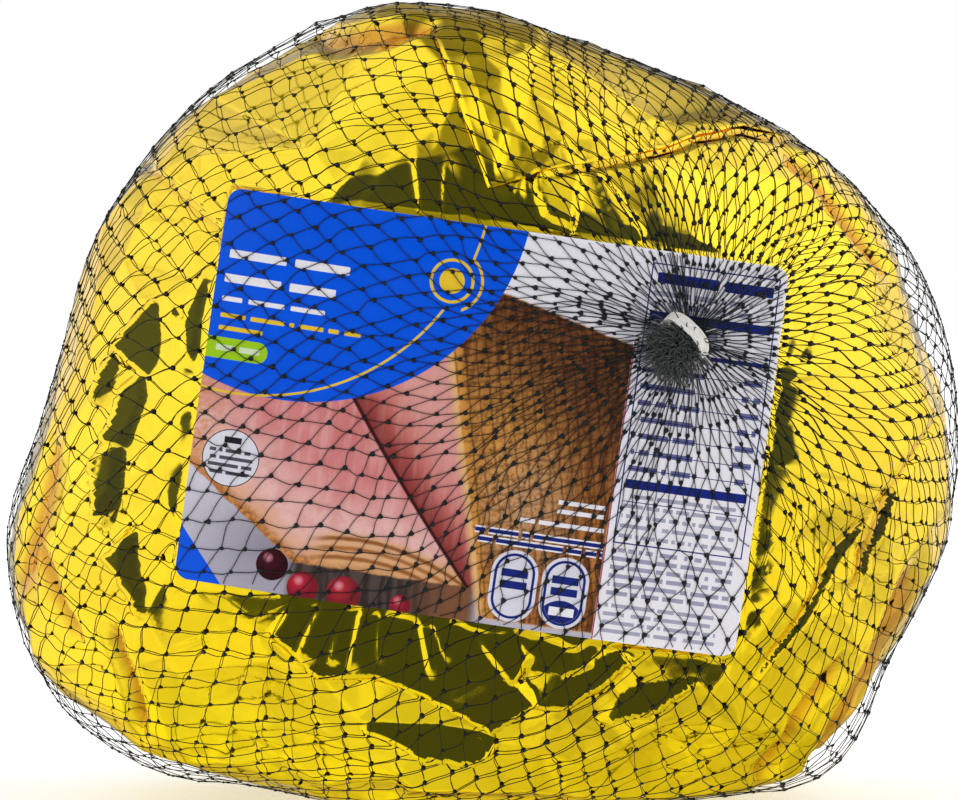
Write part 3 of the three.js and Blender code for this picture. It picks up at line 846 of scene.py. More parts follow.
def crease_shell(rng, lines, step, loose, rise):
    """Corners and faces of a shell of long flat facets stretched between straight creases."""
    feet, lifts = [], []
    for _ in range(lines):
        foot = random_direction(rng)
        ring = unit(np.cross(foot, np.array((0.0, -1.0, 0.0))))
        spoke = np.cross(foot, ring)
        upright = foot[2] > 0.75
        turn = rng.normal() * 0.55 + (math.pi / 2 if upright else 0)
        run = ring * math.cos(turn) + spoke * math.sin(turn)
        count = int(rng.integers(3, 7))
        height = rng.choice((-1.0, 1.0)) * rng.uniform(0.4, 1.2)
        for k in range(count):
            angle = (k - (count - 1) / 2) * step * rng.uniform(0.9, 1.1) / 100
            aside = np.cross(foot, run) * rng.normal() * 0.008
            feet.append(unit(foot * math.cos(angle) + run * math.sin(angle) + aside))
            lifts.append(height * (1 - 0.7 * (2 * k / (count - 1) - 1) ** 2))
    for _ in range(loose):
        feet.append(random_direction(rng))
        lifts.append(rng.normal() * 0.45)
    work = bmesh.new()
    for foot in feet:
        work.verts.new(foot)
    work.verts.index_update()
    bmesh.ops.convex_hull(work, input=work.verts, use_existing_faces=False)
    faces = [tuple(v.index for v in face.verts) for face in work.faces]
    work.free()
    feet = np.array(feet)
    return form_point(feet) + feet * (np.array(lifts) * rise)[:, None], faces


def facet_height(directions, radius, shell):
    """Height over the form of a shell of flat facets."""
    corners, faces = shell
    tree = BVHTree.FromPolygons(corners.tolist(), faces)
    middle = Vector(PACK_MIDDLE)
    height = np.zeros(len(directions))
    for index, direction in enumerate(directions.tolist()):
        distance = tree.ray_cast(middle, Vector(direction))[3]
        height[index] = distance if distance is not None else radius[index]
    return height - radius


def crease_height(points, rng, count, width, rise):
    """Long straight creases: narrow ridges and furrows that fade at their ends."""
    height = np.zeros(len(points))
    for _ in range(count):
        foot = form_point(random_direction(rng)[None])[0]
        across = random_direction(rng)
        normal = unit(foot - PACK_MIDDLE)
        across = unit(across - normal * (across @ normal))
        along = np.cross(normal, across)
        offset = points - foot
        reach = rng.uniform(18, 45)
        wide = width * rng.uniform(0.6, 1.6)
        side = offset @ across + 0.0016 * rng.uniform(-1, 1) * (offset @ along) ** 2
        ends = fade((1.2 - np.abs(offset @ along) / reach) / 0.8)
        near = offset @ normal > -25
        slopes = np.where(side > 0, side / wide, -side / (wide * rng.uniform(0.5, 2.0)))
        shape = np.maximum(0, 1 - slopes)
        height += rng.choice((-1.0, 1.0)) * rise * rng.uniform(0.4, 1.2) * shape * ends * near
    return height


def fold_height(points, rng):
    """Crumples as overlaid zigzag folds, each in its own patches."""
    warp = np.stack([waves(points, rng, 55) for _ in range(3)], axis=-1) * 4.5
    bent = points + warp
    height = np.zeros(len(points))
    for wavelength, slope, count, bias in FOLD_LAYERS:
        for _ in range(count):
            pitch = wavelength * rng.uniform(0.75, 1.3)
            patch = fade((waves(points, rng, 2.6 * wavelength, 5) + bias + 0.35) / 0.7)
            fold = zigzag(bent @ random_direction(rng) / pitch + rng.uniform(0, 1))
            height += slope * pitch / 4 * fold * patch
    return height


def foil_points(directions, settings):
    """The crumpled foil's points in the given directions from the middle."""
    rng = np.random.default_rng(settings.seed)
    radius = form_radius(directions)
    points = PACK_MIDDLE + directions * radius[:, None]
    gap = round_radius(directions) - floor_radius(directions)
    flattened = fade(gap / 6 + 0.5)
    bed = label_cover(points, 9)
    pressed = label_cover(points, 3)
    hollows = np.zeros(len(points))
    for x, y, z, reach, deep in HOLLOWS:
        away = np.linalg.norm(points - np.array((x, y, z)), axis=1) / reach
        hollows += deep * np.exp(-away * away)
    broken = fade((waves(points, rng, 90) + 0.4) / 1.0)
    broad = facet_height(directions, radius, crease_shell(rng, *BROAD_SHELL))
    small = facet_height(directions, radius, crease_shell(rng, *SMALL_SHELL))
    folds = broad + 0.4 * broken * small
    folds += fold_height(points, rng) * (0.05 + 0.22 * broken)
    folds += crease_height(points, rng, 60, 1.6, 0.35)
    plates, cover = plate_height(points, directions, radius)
    folds = (settings.crumple * folds - pleat_depth(points)) * (1 - 0.9 * cover)
    relief = 0.5 - folds - plates - ridge_height(points)
    relief += FLAP_FOLD * flap_fold(points)
    relief *= 1 - 0.92 * pressed
    depth = (relief + hollows) * (1 - 0.94 * flattened) + 0.5 * bed
    return points - directions * depth[:, None]


def make_foil_material(settings):
    """Gold-tinted metal under a clear gloss film, with fine crinkles, and deep folds tinted orange as a
    painted reflection of foil in foil.
    """
    material, kit, shader = new_material("gold_foil")
    place = kit.place()
    drift = kit.noise(place, 60, 2, colour=True)
    bent = kit.vector("ADD", place, kit.scale(drift, 0.012))
    broad = kit.voronoi(bent, 120, "CHEBYCHEV")
    fine = kit.voronoi(bent, 380, "MANHATTAN")
    patch = kit.spread(kit.noise(place, 24, 2), 0.52, 0.68)
    small = kit.spread(kit.noise(place, 38, 3), 0.60, 0.72)
    normal = kit.bump(kit.times(broad, patch), 0.0007, 0.28)
    normal = kit.bump(kit.times(fine, small), 0.00025, 0.40, normal)
    normal = kit.bump(kit.noise(place, 700, 3, 0.6), 0.00001, 0.4, normal)
    deep = tuple(c * f for c, f in zip(settings.colour, (0.97, 0.92, 1.0)))
    tone = kit.spread(kit.noise(place, 18, 2), 0.35, 0.65)
    gold = kit.mix(tone, (*settings.colour, 1), (*deep, 1))
    # Painted reflection: the fold attribute tints pleats and the flap's fold orange, standing in for
    # light bounced between facing foil.
    fold = kit.add("ShaderNodeAttribute", attribute_name="fold").outputs["Fac"]
    gold = kit.mix(kit.spread(fold, 0.15, 0.95), gold, (*settings.fold, 1))
    kit.put(shader.inputs["Base Color"], gold)
    clear = settings.roughness
    haze = kit.spread(kit.noise(place, 70, 4, 0.6), 0.4, 0.75, clear, clear + 0.09)
    kit.put(shader.inputs["Roughness"], haze)
    shader.inputs["Metallic"].default_value = 1.0
    shader.inputs["Specular Tint"].default_value = (1.0, 0.80, 0.10, 1)
    x, _, z = kit.split(place)
    film = kit.spread(kit.plus(kit.size(x), kit.scaled(z, 0.6, -0.06)), 0.03, 0.11, 0.10, 0.90)
    kit.put(shader.inputs["Coat Weight"], film)
    shader.inputs["Coat Roughness"].default_value = 0.05
    shader.inputs["Coat IOR"].default_value = 1.55
    kit.put(shader.inputs["Normal"], normal)
    kit.put(shader.inputs["Coat Normal"], normal)
    return material


def make_foil(settings):
    """The foil pack: a ball of even triangles, made finer where it shows, drawn out to the form."""
    deselect()
    bpy.ops.mesh.primitive_ico_sphere_add(subdivisions=7, radius=1.0, location=(0, 0, 0))
    piece = bpy.context.active_object
    piece.name = piece.data.name = "foil_wrap"
    mesh = piece.data
    centres = np.empty(len(mesh.polygons) * 3)
    mesh.polygons.foreach_get("center", centres)
    feet = form_point(unit(centres.reshape(-1, 3)))
    shown = (feet[:, 1] < -4) & (label_cover(feet, 0.1) < 0.5)
    covered = label_cover(feet, 6)
    rim = (feet[:, 1] < 0) & (covered > 0) & (covered <= 0.999)
    mesh.polygons.foreach_set("select", shown | rim)
    for parts in (mesh.edges, mesh.vertices):
        parts.foreach_set("select", np.zeros(len(parts), bool))
    bpy.context.tool_settings.mesh_select_mode = (False, False, True)
    bpy.ops.object.mode_set(mode="EDIT")
    bpy.ops.mesh.subdivide(number_cuts=1)
    bpy.ops.mesh.select_all(action="SELECT")
    bpy.ops.mesh.quads_convert_to_tris()
    bpy.ops.object.mode_set(mode="OBJECT")
    directions = unit(get_points(mesh))
    form = form_point(directions)
    set_points(mesh, foil_points(directions, settings))
    # The fold attribute carries the painted reflection tint: deep pleats and the flap's fold get the
    # orange of foil reflecting foil.
    folds = mesh.attributes.new("fold", "FLOAT", "POINT")
    bounce_tint = np.maximum(pleat_depth(form) / PLEAT_BOUNCE_DEPTH, 0.7 * flap_fold(form))
    folds.data.foreach_set("value", bounce_tint)
    mesh.shade_smooth()
    mesh.materials.append(make_foil_material(settings))
    finish_piece(piece, "foil_pack")
    return piece


def make_flap(foil):
    """The loose flap: a thin sheet that stands off at its two free edges and dips in behind them."""
    skin = skin_tree([foil])
    steps = np.concatenate([np.arange(0, 2.4, 0.4), np.arange(2.4, 8, 0.8), np.arange(8, 46, 1.6)])
    edge = np.array(FLAP_EDGE, float)
    lengths = np.concatenate([[0], np.cumsum(np.linalg.norm(np.diff(edge[1:], axis=0), axis=1))])
    across = np.concatenate([steps, np.arange(47, lengths[-1], 1.6)])
    right = np.stack([np.interp(across, lengths, edge[1:, k]) for k in (0, 1)], axis=-1)
    up = unit(edge[0] - edge[1])
    spots = right[:, None] + up * steps[None, :, None]
    directions = unit(form_point_at(spots[..., 0], spots[..., 1]) - PACK_MIDDLE).reshape(-1, 3)
    reach = outermost(skin, directions)
    from_left = across[:, None] * np.ones(len(steps))
    from_right = np.ones((len(across), 1)) * steps * 0.93
    inside = np.minimum(from_left, from_right).ravel()
    tip = fade((lengths[-1] - from_left.ravel()) / 18) * fade((44 - from_right.ravel()) / 10)
    lift = 0.45 * np.exp(-((inside / 0.7) ** 2)) + 0.40
    lift = lift - 1.1 * fade(inside / FLAP_REACH) - 1.2 * (1 - tip)
    points = PACK_MIDDLE + directions * (reach + lift)[:, None]
    width = len(steps)
    first = (np.arange(len(across) - 1)[:, None] * width + np.arange(width - 1)).ravel()
    faces = np.stack([first, first + width, first + width + 1, first + 1], axis=-1)
    piece = new_piece("foil_flap", points, faces.tolist(), foil.data.materials[0])
    thicken(piece, FLAP_THICKNESS, 0)
    turned_out(piece)
    bpy.ops.object.shade_smooth_by_angle(angle=math.radians(40))
    finish_piece(piece, "foil_pack")


# ---- Label ---------------------------------------------------------------------------------------


class Sheet:
    """A flat drawing in millimetres from the label's middle, made layer by layer."""

    def __init__(self, kit, u, v, colour):
        self.kit = kit
        self.u = u
        self.v = v
        self.colour = colour

    def over(self, share, first, second):
        """A new drawing over the same place, which starts as a mix of two colours."""
        return Sheet(self.kit, self.u, self.v, self.kit.mix(share, first, second))

    def lay(self, mask, colour, strength=None):
        """Prints a colour through a mask."""
        if strength is not None:
            mask = self.kit.times(mask, strength)
        self.colour = self.kit.mix(mask, self.colour, colour)

    def edge(self, distance, soft=0.12):
        """1 where a distance is below 0, with a soft edge."""
        return self.kit.calc("MULTIPLY_ADD", distance, -1 / soft, 0.5, clamp=True)

    def box(self, u0, u1, v0, v1, corner=0.0):
        """Mask of a rectangle, with round corners if asked."""
        kit = self.kit
        across = kit.size(kit.minus(self.u, (u0 + u1) / 2))
        up = kit.size(kit.minus(self.v, (v0 + v1) / 2))
        across = kit.minus(across, abs(u1 - u0) / 2 - corner)
        up = kit.minus(up, abs(v1 - v0) / 2 - corner)
        if not corner:
            return self.edge(kit.calc("MAXIMUM", across, up))
        outside = kit.join(kit.calc("MAXIMUM", across, 0), kit.calc("MAXIMUM", up, 0))
        return self.edge(kit.minus(kit.vector("LENGTH", outside, output=1), corner))

    def away(self, u, v, stretch=1.0):
        """Distance from a point, its upward part stretched."""
        kit = self.kit
        across = kit.minus(self.u, u)
        up = kit.times(kit.minus(self.v, v), stretch)
        return kit.calc("SQRT", kit.plus(kit.times(across, across), kit.times(up, up)))

    def disc(self, u, v, radius, stretch=1.0, soft=0.12):
        """Mask of a disc or an oval."""
        return self.edge(self.kit.minus(self.away(u, v, stretch), radius), soft)

    def ring(self, u, v, radius, width):
        """Mask of a ring."""
        off = self.kit.size(self.kit.minus(self.away(u, v), radius))
        return self.edge(self.kit.minus(off, width / 2))

    def slope(self, u0, v0, u1, v1):
        """Distance to the left of a line drawn from one point to another."""
        length = math.hypot(u1 - u0, v1 - v0)
        a, b = -(v1 - v0) / length, (u1 - u0) / length
        return self.kit.plus(self.kit.scaled(self.v, b, self.kit.times(self.u, a)), -(a * u0 + b * v0))

    def inside(self, *distances, soft=0.12):
        """Mask of where all distances are above 0."""
        least = distances[0]
        for distance in distances[1:]:
            least = self.kit.calc("MINIMUM", least, distance)
        return self.edge(self.kit.times(least, -1), soft)

    def words(self, v, height, spans, colour):
        """Prints a row of plain bars, one for a word."""
        for start, end in spans:
            self.lay(self.box(start, end, v - height / 2, v + height / 2, 0.3), colour)

    def rows(self, u0, u1, v0, v1, count, height, letter, seed, gaps):
        """Mask of rows of small plain bars, with a share of gaps, from v0 at the bottom to v1."""
        kit = self.kit
        pitch = (v1 - v0) / count
        line = kit.calc("DIVIDE", kit.minus(self.v, v0), pitch)
        row = kit.calc("FLOOR", line)
        up = kit.times(kit.calc("FRACT", line), pitch)
        place = kit.plus(kit.calc("DIVIDE", kit.minus(self.u, u0), letter), kit.times(row, ROW_SHIFT))
        cell = kit.join(kit.calc("FLOOR", place), kit.plus(row, seed))
        chance = kit.add("ShaderNodeTexWhiteNoise", cell, noise_dimensions="2D")
        shown = kit.calc("GREATER_THAN", chance.outputs["Value"], gaps)
        low = (pitch - height) / 2
        above = self.edge(kit.minus(low, up), 0.1)
        below = self.edge(kit.minus(up, low + height), 0.1)
        return kit.times(kit.times(shown, kit.times(above, below)), self.box(u0, u1, v0, v1))


class MealNoise:
    """The noises that roughen the fields of the serving picture."""

    def __init__(self, kit, sheet):
        self.place = kit.join(sheet.u, sheet.v)
        self.grain = kit.noise(self.place, 0.16, 4, 0.55)
        self.fleck = kit.noise(self.place, 0.8, 4, 0.6)
        self.ragged = kit.scaled(kit.noise(self.place, 0.12, 3), 5.0, -2.5)
        self.rough = kit.scaled(kit.noise(self.place, 0.35, 3), 2.6, -1.3)
        self.streak = kit.noise(kit.vector("MULTIPLY", self.place, (0.50, 0.07, 1.0)), 0.9, 3)


def draw_plate(sheet, kit, noise):
    """The grey table, the dark plate and its berries."""
    u, v = sheet.u, sheet.v
    sheet.lay(kit.spread(v, -50, 10, 1, 0, "LINEAR"), rgb(186, 182, 194))
    sheet.lay(sheet.disc(-50, -38, 12, 1.1, 22), rgb(120, 114, 128), 0.7)
    plate = sheet.inside(kit.minus(-38.0, v), kit.plus(u, 43), kit.minus(4.0, u), soft=3.0)
    sheet.lay(plate, kit.mix(kit.spread(noise.streak, 0.40, 0.60), rgb(56, 45, 41), rgb(84, 70, 63)))
    sheet.lay(kit.times(plate, kit.spread(u, -16, 0)), rgb(128, 84, 54))
    for at, up, radius, colour in BERRIES:
        lit = at - radius * 0.3
        glow = sheet.disc(lit, up + radius * 0.3, radius * 0.4, 1, radius)
        berry = kit.mix(glow, rgb(*(c * 0.62 for c in colour)), rgb(*colour))
        sheet.lay(sheet.disc(at, up, radius), berry)
        sheet.lay(sheet.disc(lit, up + radius * 0.4, radius * 0.16, 1, 1.6), rgb(232, 150, 162))


def draw_cut_face(sheet, kit, noise, side_left):
    """The pink cut face: redder in its middle, with a browned rim, folded slices and a slit."""
    spread, plus, times = kit.spread, kit.plus, kit.times
    u, v = sheet.u, sheet.v
    bottom = plus(v, 41.4, times(noise.rough, 0.35))
    slant = plus(sheet.slope(-72.0, -20.5, -41.0, -42.6), times(noise.rough, 0.5))
    depth = kit.calc("MINIMUM", bottom, slant)
    flesh = sheet.over(spread(depth, 7, 26), rgb(238, 190, 180), rgb(219, 136, 132))
    flesh.lay(sheet.disc(-26, -2, 14, 1.0, 24), rgb(203, 106, 102), 0.6)
    flesh.lay(spread(noise.streak, 0.42, 0.66), rgb(240, 192, 184), 0.35)
    flesh.lay(spread(noise.grain, 0.45, 0.62), rgb(208, 120, 114), 0.35)
    flesh.lay(spread(plus(depth, noise.ragged), 2.0, 9.0, 1, 0), rgb(224, 166, 122), 0.8)
    crust = kit.mix(spread(noise.fleck, 0.38, 0.62), rgb(214, 142, 74), rgb(160, 98, 48))
    flesh.lay(spread(plus(depth, times(noise.ragged, 0.4)), 0.8, 3.6, 1, 0), crust)
    flesh.lay(times(spread(u, -72, -61, 1, 0), spread(noise.fleck, 0.40, 0.62)), rgb(216, 150, 92))

    bow = plus(u, 27.0)
    fold = plus(v, 33.4, times(times(bow, bow), 0.010), times(noise.rough, 0.25))
    folded = times(spread(u, -41, -33), spread(fold, -9.0, -6.0))
    flesh.lay(times(folded, spread(fold, 0.6, 2.4, 1, 0)), rgb(226, 172, 118), 0.85)
    for offset, brown in SLICE_LINES:
        near = spread(kit.size(plus(fold, offset)), 0.15, 0.9, 1, 0)
        flesh.lay(times(near, folded), rgb(*brown))

    slit = plus(sheet.slope(2.0, -41.0, -33.6, 2.6), times(kit.calc("SINE", times(v, 0.07)), 0.7))
    past = spread(slit, -0.2, 0.2, 1, 0)
    below = spread(v, 2.0, 4.5, 1, 0)
    farther = sheet.over(spread(slit, -16, -2), rgb(224, 156, 146), rgb(198, 96, 88))
    farther.lay(spread(noise.streak, 0.44, 0.64), rgb(232, 172, 160), 0.3)
    flesh.lay(past, farther.colour)
    flesh.lay(times(times(past, spread(slit, -9.0, 0.5)), below), rgb(124, 40, 36), 0.85)
    flesh.lay(times(spread(kit.size(slit), 0.2, 0.75, 1, 0), below), rgb(66, 22, 22))
    sheet.lay(sheet.inside(depth, plus(side_left, 1.0), soft=0.5), flesh.colour)


def draw_glazed_side(sheet, kit, noise, side_left):
    """The glazed side: a pale rim of fat, browned strands, lighter patches and scored lines."""
    spread, plus, times = kit.spread, kit.plus, kit.times
    u, v = sheet.u, sheet.v
    left = times(side_left, -1)
    top = kit.scaled(noise.rough, 0.5, times(sheet.slope(0.0, 34.0, 36.0, 25.0), -1))
    foot = plus(v, kit.scaled(noise.rough, 0.4, 48.5))
    right = kit.minus(35.2, u)
    sheet.lay(sheet.inside(plus(left, 1.5), foot, right, top, soft=1.4), rgb(232, 182, 118))
    strands = kit.noise(kit.vector("MULTIPLY", noise.place, (0.75, 0.10, 1.0)), 0.8, 4, 0.6)
    glaze = sheet.over(spread(strands, 0.38, 0.62), rgb(104, 58, 24), rgb(184, 118, 54))
    glow = times(sheet.disc(7, -6, 13, 0.6, 20), spread(noise.fleck, 0.3, 0.6))
    glaze.lay(glow, rgb(222, 160, 76), 0.8)
    pale = times(sheet.disc(14, -20, 8, 0.7, 14), spread(noise.fleck, 0.35, 0.6))
    glaze.lay(pale, rgb(206, 168, 132), 0.7)
    gloom = sheet.inside(plus(sheet.slope(-6.0, 22.0, 40.0, -16.0), -2.0), soft=22.0)
    glaze.lay(gloom, kit.mix(spread(noise.fleck, 0.35, 0.65), rgb(58, 32, 16), rgb(118, 70, 36)), 0.85)
    glaze.lay(spread(side_left, -3.4, -0.6), rgb(214, 146, 64))
    for tilt, pitch, dark in SCORE_LINES:
        lines = plus(times(u, math.cos(tilt) / pitch), times(v, math.sin(tilt) / pitch))
        lines = kit.calc("PINGPONG", plus(lines, times(noise.rough, 0.22)), 0.5)
        glaze.lay(spread(lines, 0.02, 0.17, dark, 0.0), rgb(62, 30, 12))
    sheet.lay(sheet.inside(left, foot, right, top, soft=0.5), glaze.colour)


def draw_meal(sheet, kit):
    """The serving picture as plain fields: a sliced pink cut face, a glazed side and a few berries."""
    noise = MealNoise(kit, sheet)
    side_left = kit.plus(sheet.slope(6.5, -46.0, -10.5, 20.0), kit.times(noise.rough, 0.45))
    draw_plate(sheet, kit, noise)
    draw_cut_face(sheet, kit, noise, side_left)
    draw_glazed_side(sheet, kit, noise, side_left)


def draw_panel(sheet, kit, ink, paper):
    """The fact panel at the right: a framed white field with plain bars for its lines."""
    start = kit.plus(sheet.u, -35.2)
    sheet.lay(sheet.inside(start), paper)
    sheet.lay(sheet.inside(start, kit.minus(27.0, sheet.v)), rgb(176, 40, 96))
    sheet.lay(sheet.inside(kit.plus(sheet.u, -35.5)), paper)
    left, right, bottom, top = PANEL_FRAME
    frame_out = sheet.box(left, right, bottom, top)
    frame_in = sheet.box(left + PANEL_LINE, right - PANEL_LINE, bottom + PANEL_LINE, top - PANEL_LINE)
    sheet.lay(kit.minus(frame_out, frame_in), ink)
    for u0, u1, v, thick in PANEL_BARS:
        sheet.lay(sheet.box(u0, u1, v - thick / 2, v + thick / 2), ink)
    lines = kit.calc("PINGPONG", kit.calc("DIVIDE", kit.plus(sheet.v, 9.7), PANEL_PITCH), 0.5)
    rules = sheet.edge(kit.minus(kit.times(lines, PANEL_PITCH), 0.11), 0.1)
    for low, high in ((-7.0, 21.0), (-16.0, -11.0)):
        sheet.lay(kit.times(rules, sheet.box(38.0, 69.2, low, high)), ink)
    sheet.words(43.2, 2.7, ((38.8, 54.6), (56.2, 68.8)), ink)
    for *block, strength in PANEL_BLOCKS:
        sheet.lay(sheet.rows(*block), ink, strength)


def draw_field(sheet, kit, settings):
    """The round coloured field at the upper left with its arc, ring, pill and bars."""
    gold = (*settings.line, 1)
    paper = (*settings.paper, 1)
    u, v = FIELD_RING
    sheet.lay(sheet.disc(-52, 56, 57.1), (*settings.field, 1))
    arc = sheet.ring(-64, 57, 58.2, 0.62)
    clear = kit.minus(1.0, sheet.disc(u, v, 7.6))
    sheet.lay(kit.times(arc, clear), gold)
    right = sheet.inside(kit.plus(sheet.u, 12.2, kit.times(sheet.v, -0.1)))
    sheet.lay(kit.times(sheet.ring(u, v, 7.7, 0.7), right), gold)
    sheet.lay(sheet.ring(u, v, 5.3, 0.75), gold)
    sheet.lay(sheet.disc(u, v, 3.2), gold)
    for up, height, spans in FIELD_WORDS:
        sheet.words(up, height, spans, paper)
    for up, spans in FIELD_SMALL_WORDS:
        sheet.words(up, 1.1, spans, gold)
    sheet.lay(sheet.box(-80.0, -56.4, 7.0, 12.4, 2.6), rgb(160, 208, 26))
    sheet.lay(sheet.rows(-69.6, -58.4, 8.2, 11.4, 1, 1.5, 1.2, 4.0, 0.1), rgb(214, 232, 190))


def draw_marks(sheet, kit, ink, paper, blue):
    """The round stamp, the ovals, the corner and the small bars near the lower edge."""
    u, v = STAMP_MIDDLE
    sheet.lay(sheet.disc(u, v, 7.3), rgb(40, 36, 40))
    sheet.lay(sheet.disc(u, v, 7.05), rgb(226, 224, 230))
    sheet.lay(sheet.rows(-64.0, -59.6, -14.2, -12.0, 1, 1.6, 1.2, 2.0, 0.0), rgb(36, 34, 40))
    small = sheet.rows(-67.4, -56.2, -22.4, -15.0, 4, 0.9, 0.8, 12.0, 0.12)
    sheet.lay(kit.times(small, sheet.disc(u, v, 6.4)), rgb(84, 82, 90))
    sheet.lay(sheet.edge(kit.times(sheet.slope(-60.0, -50.0, -72.0, -36.0), -1)), blue)
    for u, filled in OVALS:
        for inset, colour in ((0.0, rgb(224, 222, 230)), (0.8, ink), (1.5, rgb(222, 220, 228))):
            half = 6.0 - inset
            oval = sheet.box(u - half, u + half, -48.6 + inset, -30.2 - inset, half)
            sheet.lay(oval, colour)
        if filled:
            sheet.lay(kit.times(oval, sheet.disc(u, -47.5, 6.2)), ink)
            sheet.lay(sheet.rows(u - 3.2, u + 3.2, -45.6, -42.8, 1, 2.2, 1.2, 3.0, 0.0), paper)
        sheet.lay(sheet.rows(u - 3.4, u + 3.4, -40.6, -34.6, 2, 2.0, 1.1, 9.0 + u, 0.0), ink)
    for block in SIDE_BLOCKS:
        sheet.lay(sheet.rows(*block), paper)
    sheet.lay(sheet.rows(2.0, 34.8, -29.6, -25.0, 2, 1.0, 0.95, 17.0, 0.12), ink)


def make_label_material(settings):
    """Semi-gloss paper with its print."""
    material, kit, shader = new_material("label_paper")
    across, up, _ = kit.split(kit.add("ShaderNodeUVMap", uv_map="sheet").outputs[0])
    u = kit.scaled(across, LABEL_WIDTH, -LABEL_WIDTH / 2)
    v = kit.scaled(up, LABEL_HEIGHT, -LABEL_HEIGHT / 2)
    paper = (*settings.paper, 1)
    ink = (*settings.ink, 1)
    sheet = Sheet(kit, u, v, kit.mix(0.0, paper, paper))
    draw_meal(sheet, kit)
    draw_panel(sheet, kit, ink, paper)
    draw_field(sheet, kit, settings)
    draw_marks(sheet, kit, ink, paper, (*settings.field, 1))
    place = kit.place()
    fibre = kit.noise(place, 1600, 3, 0.6)
    tone = kit.spread(fibre, 0.3, 0.7, 0.0, 0.06)
    kit.put(shader.inputs["Base Color"], kit.mix(tone, sheet.colour, (0.35, 0.34, 0.36, 1), "MULTIPLY"))
    kit.put(shader.inputs["Roughness"], kit.spread(kit.noise(place, 90, 3), 0.35, 0.65, 0.36, 0.5))
    shader.inputs["Specular IOR Level"].default_value = 0.12
    normal = kit.bump(kit.noise(place, 55, 3), 0.0012, 0.35)
    kit.put(shader.inputs["Normal"], kit.bump(fibre, 0.00004, 0.5, normal))
    return material


def label_lines(length):
    """Grid lines along one side of the label, closer at its round corners."""
    straight = length - 2 * LABEL_CORNER
    inner = np.linspace(-straight / 2, straight / 2, round(straight / LABEL_STEP) + 1)
    low = np.linspace(-length / 2, -straight / 2, 5)[:-1]
    return np.concatenate([low, inner, -low[::-1]])


def make_label(settings):
    """The label: a grid with rounded corners laid over the form, then given its thickness."""
    us = label_lines(LABEL_WIDTH)
    vs = label_lines(LABEL_HEIGHT)
    deselect()
    bpy.ops.mesh.primitive_grid_add(x_subdivisions=len(us) - 1, y_subdivisions=len(vs) - 1, size=2)
    piece = bpy.context.active_object
    piece.name = piece.data.name = "label_sheet"
    mesh = piece.data
    flat = get_points(mesh) * MM
    u = us[np.rint((flat[:, 0] + 1) / 2 * (len(us) - 1)).astype(int)]
    v = vs[np.rint((flat[:, 1] + 1) / 2 * (len(vs) - 1)).astype(int)]
    square_u = np.clip((np.abs(u) - LABEL_WIDTH / 2) / LABEL_CORNER + 1, 0, 1)
    square_v = np.clip((np.abs(v) - LABEL_HEIGHT / 2) / LABEL_CORNER + 1, 0, 1)
    round_u = square_u * np.sqrt(1 - square_v**2 / 2)
    round_v = square_v * np.sqrt(1 - square_u**2 / 2)
    u = u - np.sign(u) * (square_u - round_u) * LABEL_CORNER
    v = v - np.sign(v) * (square_v - round_v) * LABEL_CORNER
    c, s = math.cos(LABEL_TILT), math.sin(LABEL_TILT)
    foot = form_point_at(LABEL_MIDDLE[0] + u * c - v * s, LABEL_MIDDLE[1] + u * s + v * c)
    rng = np.random.default_rng(LABEL_SEED)
    height = LABEL_GAP + LABEL_THICKNESS + to_mm(settings.waviness) * (1 + waves(foot, rng, 38))
    set_points(mesh, foot + form_normal(foot) * height[:, None])
    layer = mesh.uv_layers[0]
    layer.name = "sheet"
    corners = np.empty(len(mesh.loops), int)
    mesh.loops.foreach_get("vertex_index", corners)
    spots = np.stack([u / LABEL_WIDTH + 0.5, v / LABEL_HEIGHT + 0.5], axis=-1)[corners]
    layer.data.foreach_set("uv", spots.ravel())
    activate(piece)
    if mesh.polygons[0].normal.y > 0:
        mesh.flip_normals()
    thicken(piece, LABEL_THICKNESS, -1)
    mesh.shade_smooth()
    bpy.ops.object.shade_smooth_by_angle(angle=math.radians(40))
    mesh.materials.append(make_label_material(settings))
    finish_piece(piece, "label")


# ---- Net -----------------------------------------------------------------------------------------


def net_axes():
    """The net's axis, through the middle to the front gather, and two directions square to it."""
    axis = unit(form_point_at(*FRONT_GATHER) - PACK_MIDDLE)
    side = np.array((1.0, 0, 0))
    side = unit(side - axis * (side @ axis))
    return axis, side, np.cross(axis, side)


def row_shares(columns, strand):
    """Share of the way between the gathers at each row of knots."""
    outline = sum(OUTLINE_RADII) / len(OUTLINE_RADII) - NET_STANDOFF
    angles = np.linspace(0, math.pi, 2001)
    across = np.sin(angles) / outline
    along = np.abs(np.cos(angles)) / PACK_DEPTH
    reach = (across**FULLNESS + along**FULLNESS) ** (-1 / FULLNESS)
    path = np.stack([reach * np.sin(angles), reach * np.cos(angles)], axis=-1)
    lengths = np.concatenate([[0], np.cumsum(np.linalg.norm(np.diff(path, axis=0), axis=1))])
    half_way = len(angles) // 2
    start = np.interp(NET_COLLAR, path[:half_way, 0], lengths[:half_way])
    rows = [start]
    while rows[-1] < lengths[-1] - start:
        half = math.pi * np.interp(rows[-1], lengths, path[:, 0]) / columns
        side = fade((SIDE_BAND - abs(np.interp(rows[-1], lengths, path[:, 1]))) / SIDE_FADE)
        reach = strand * (1 + SIDE_STRETCH * side)
        rows.append(rows[-1] + math.sqrt(max(reach**2 - half**2, (SHORTEST_STEP * strand) ** 2)))
    rows = np.array(rows)
    return (rows - start) / (rows[-1] - start)


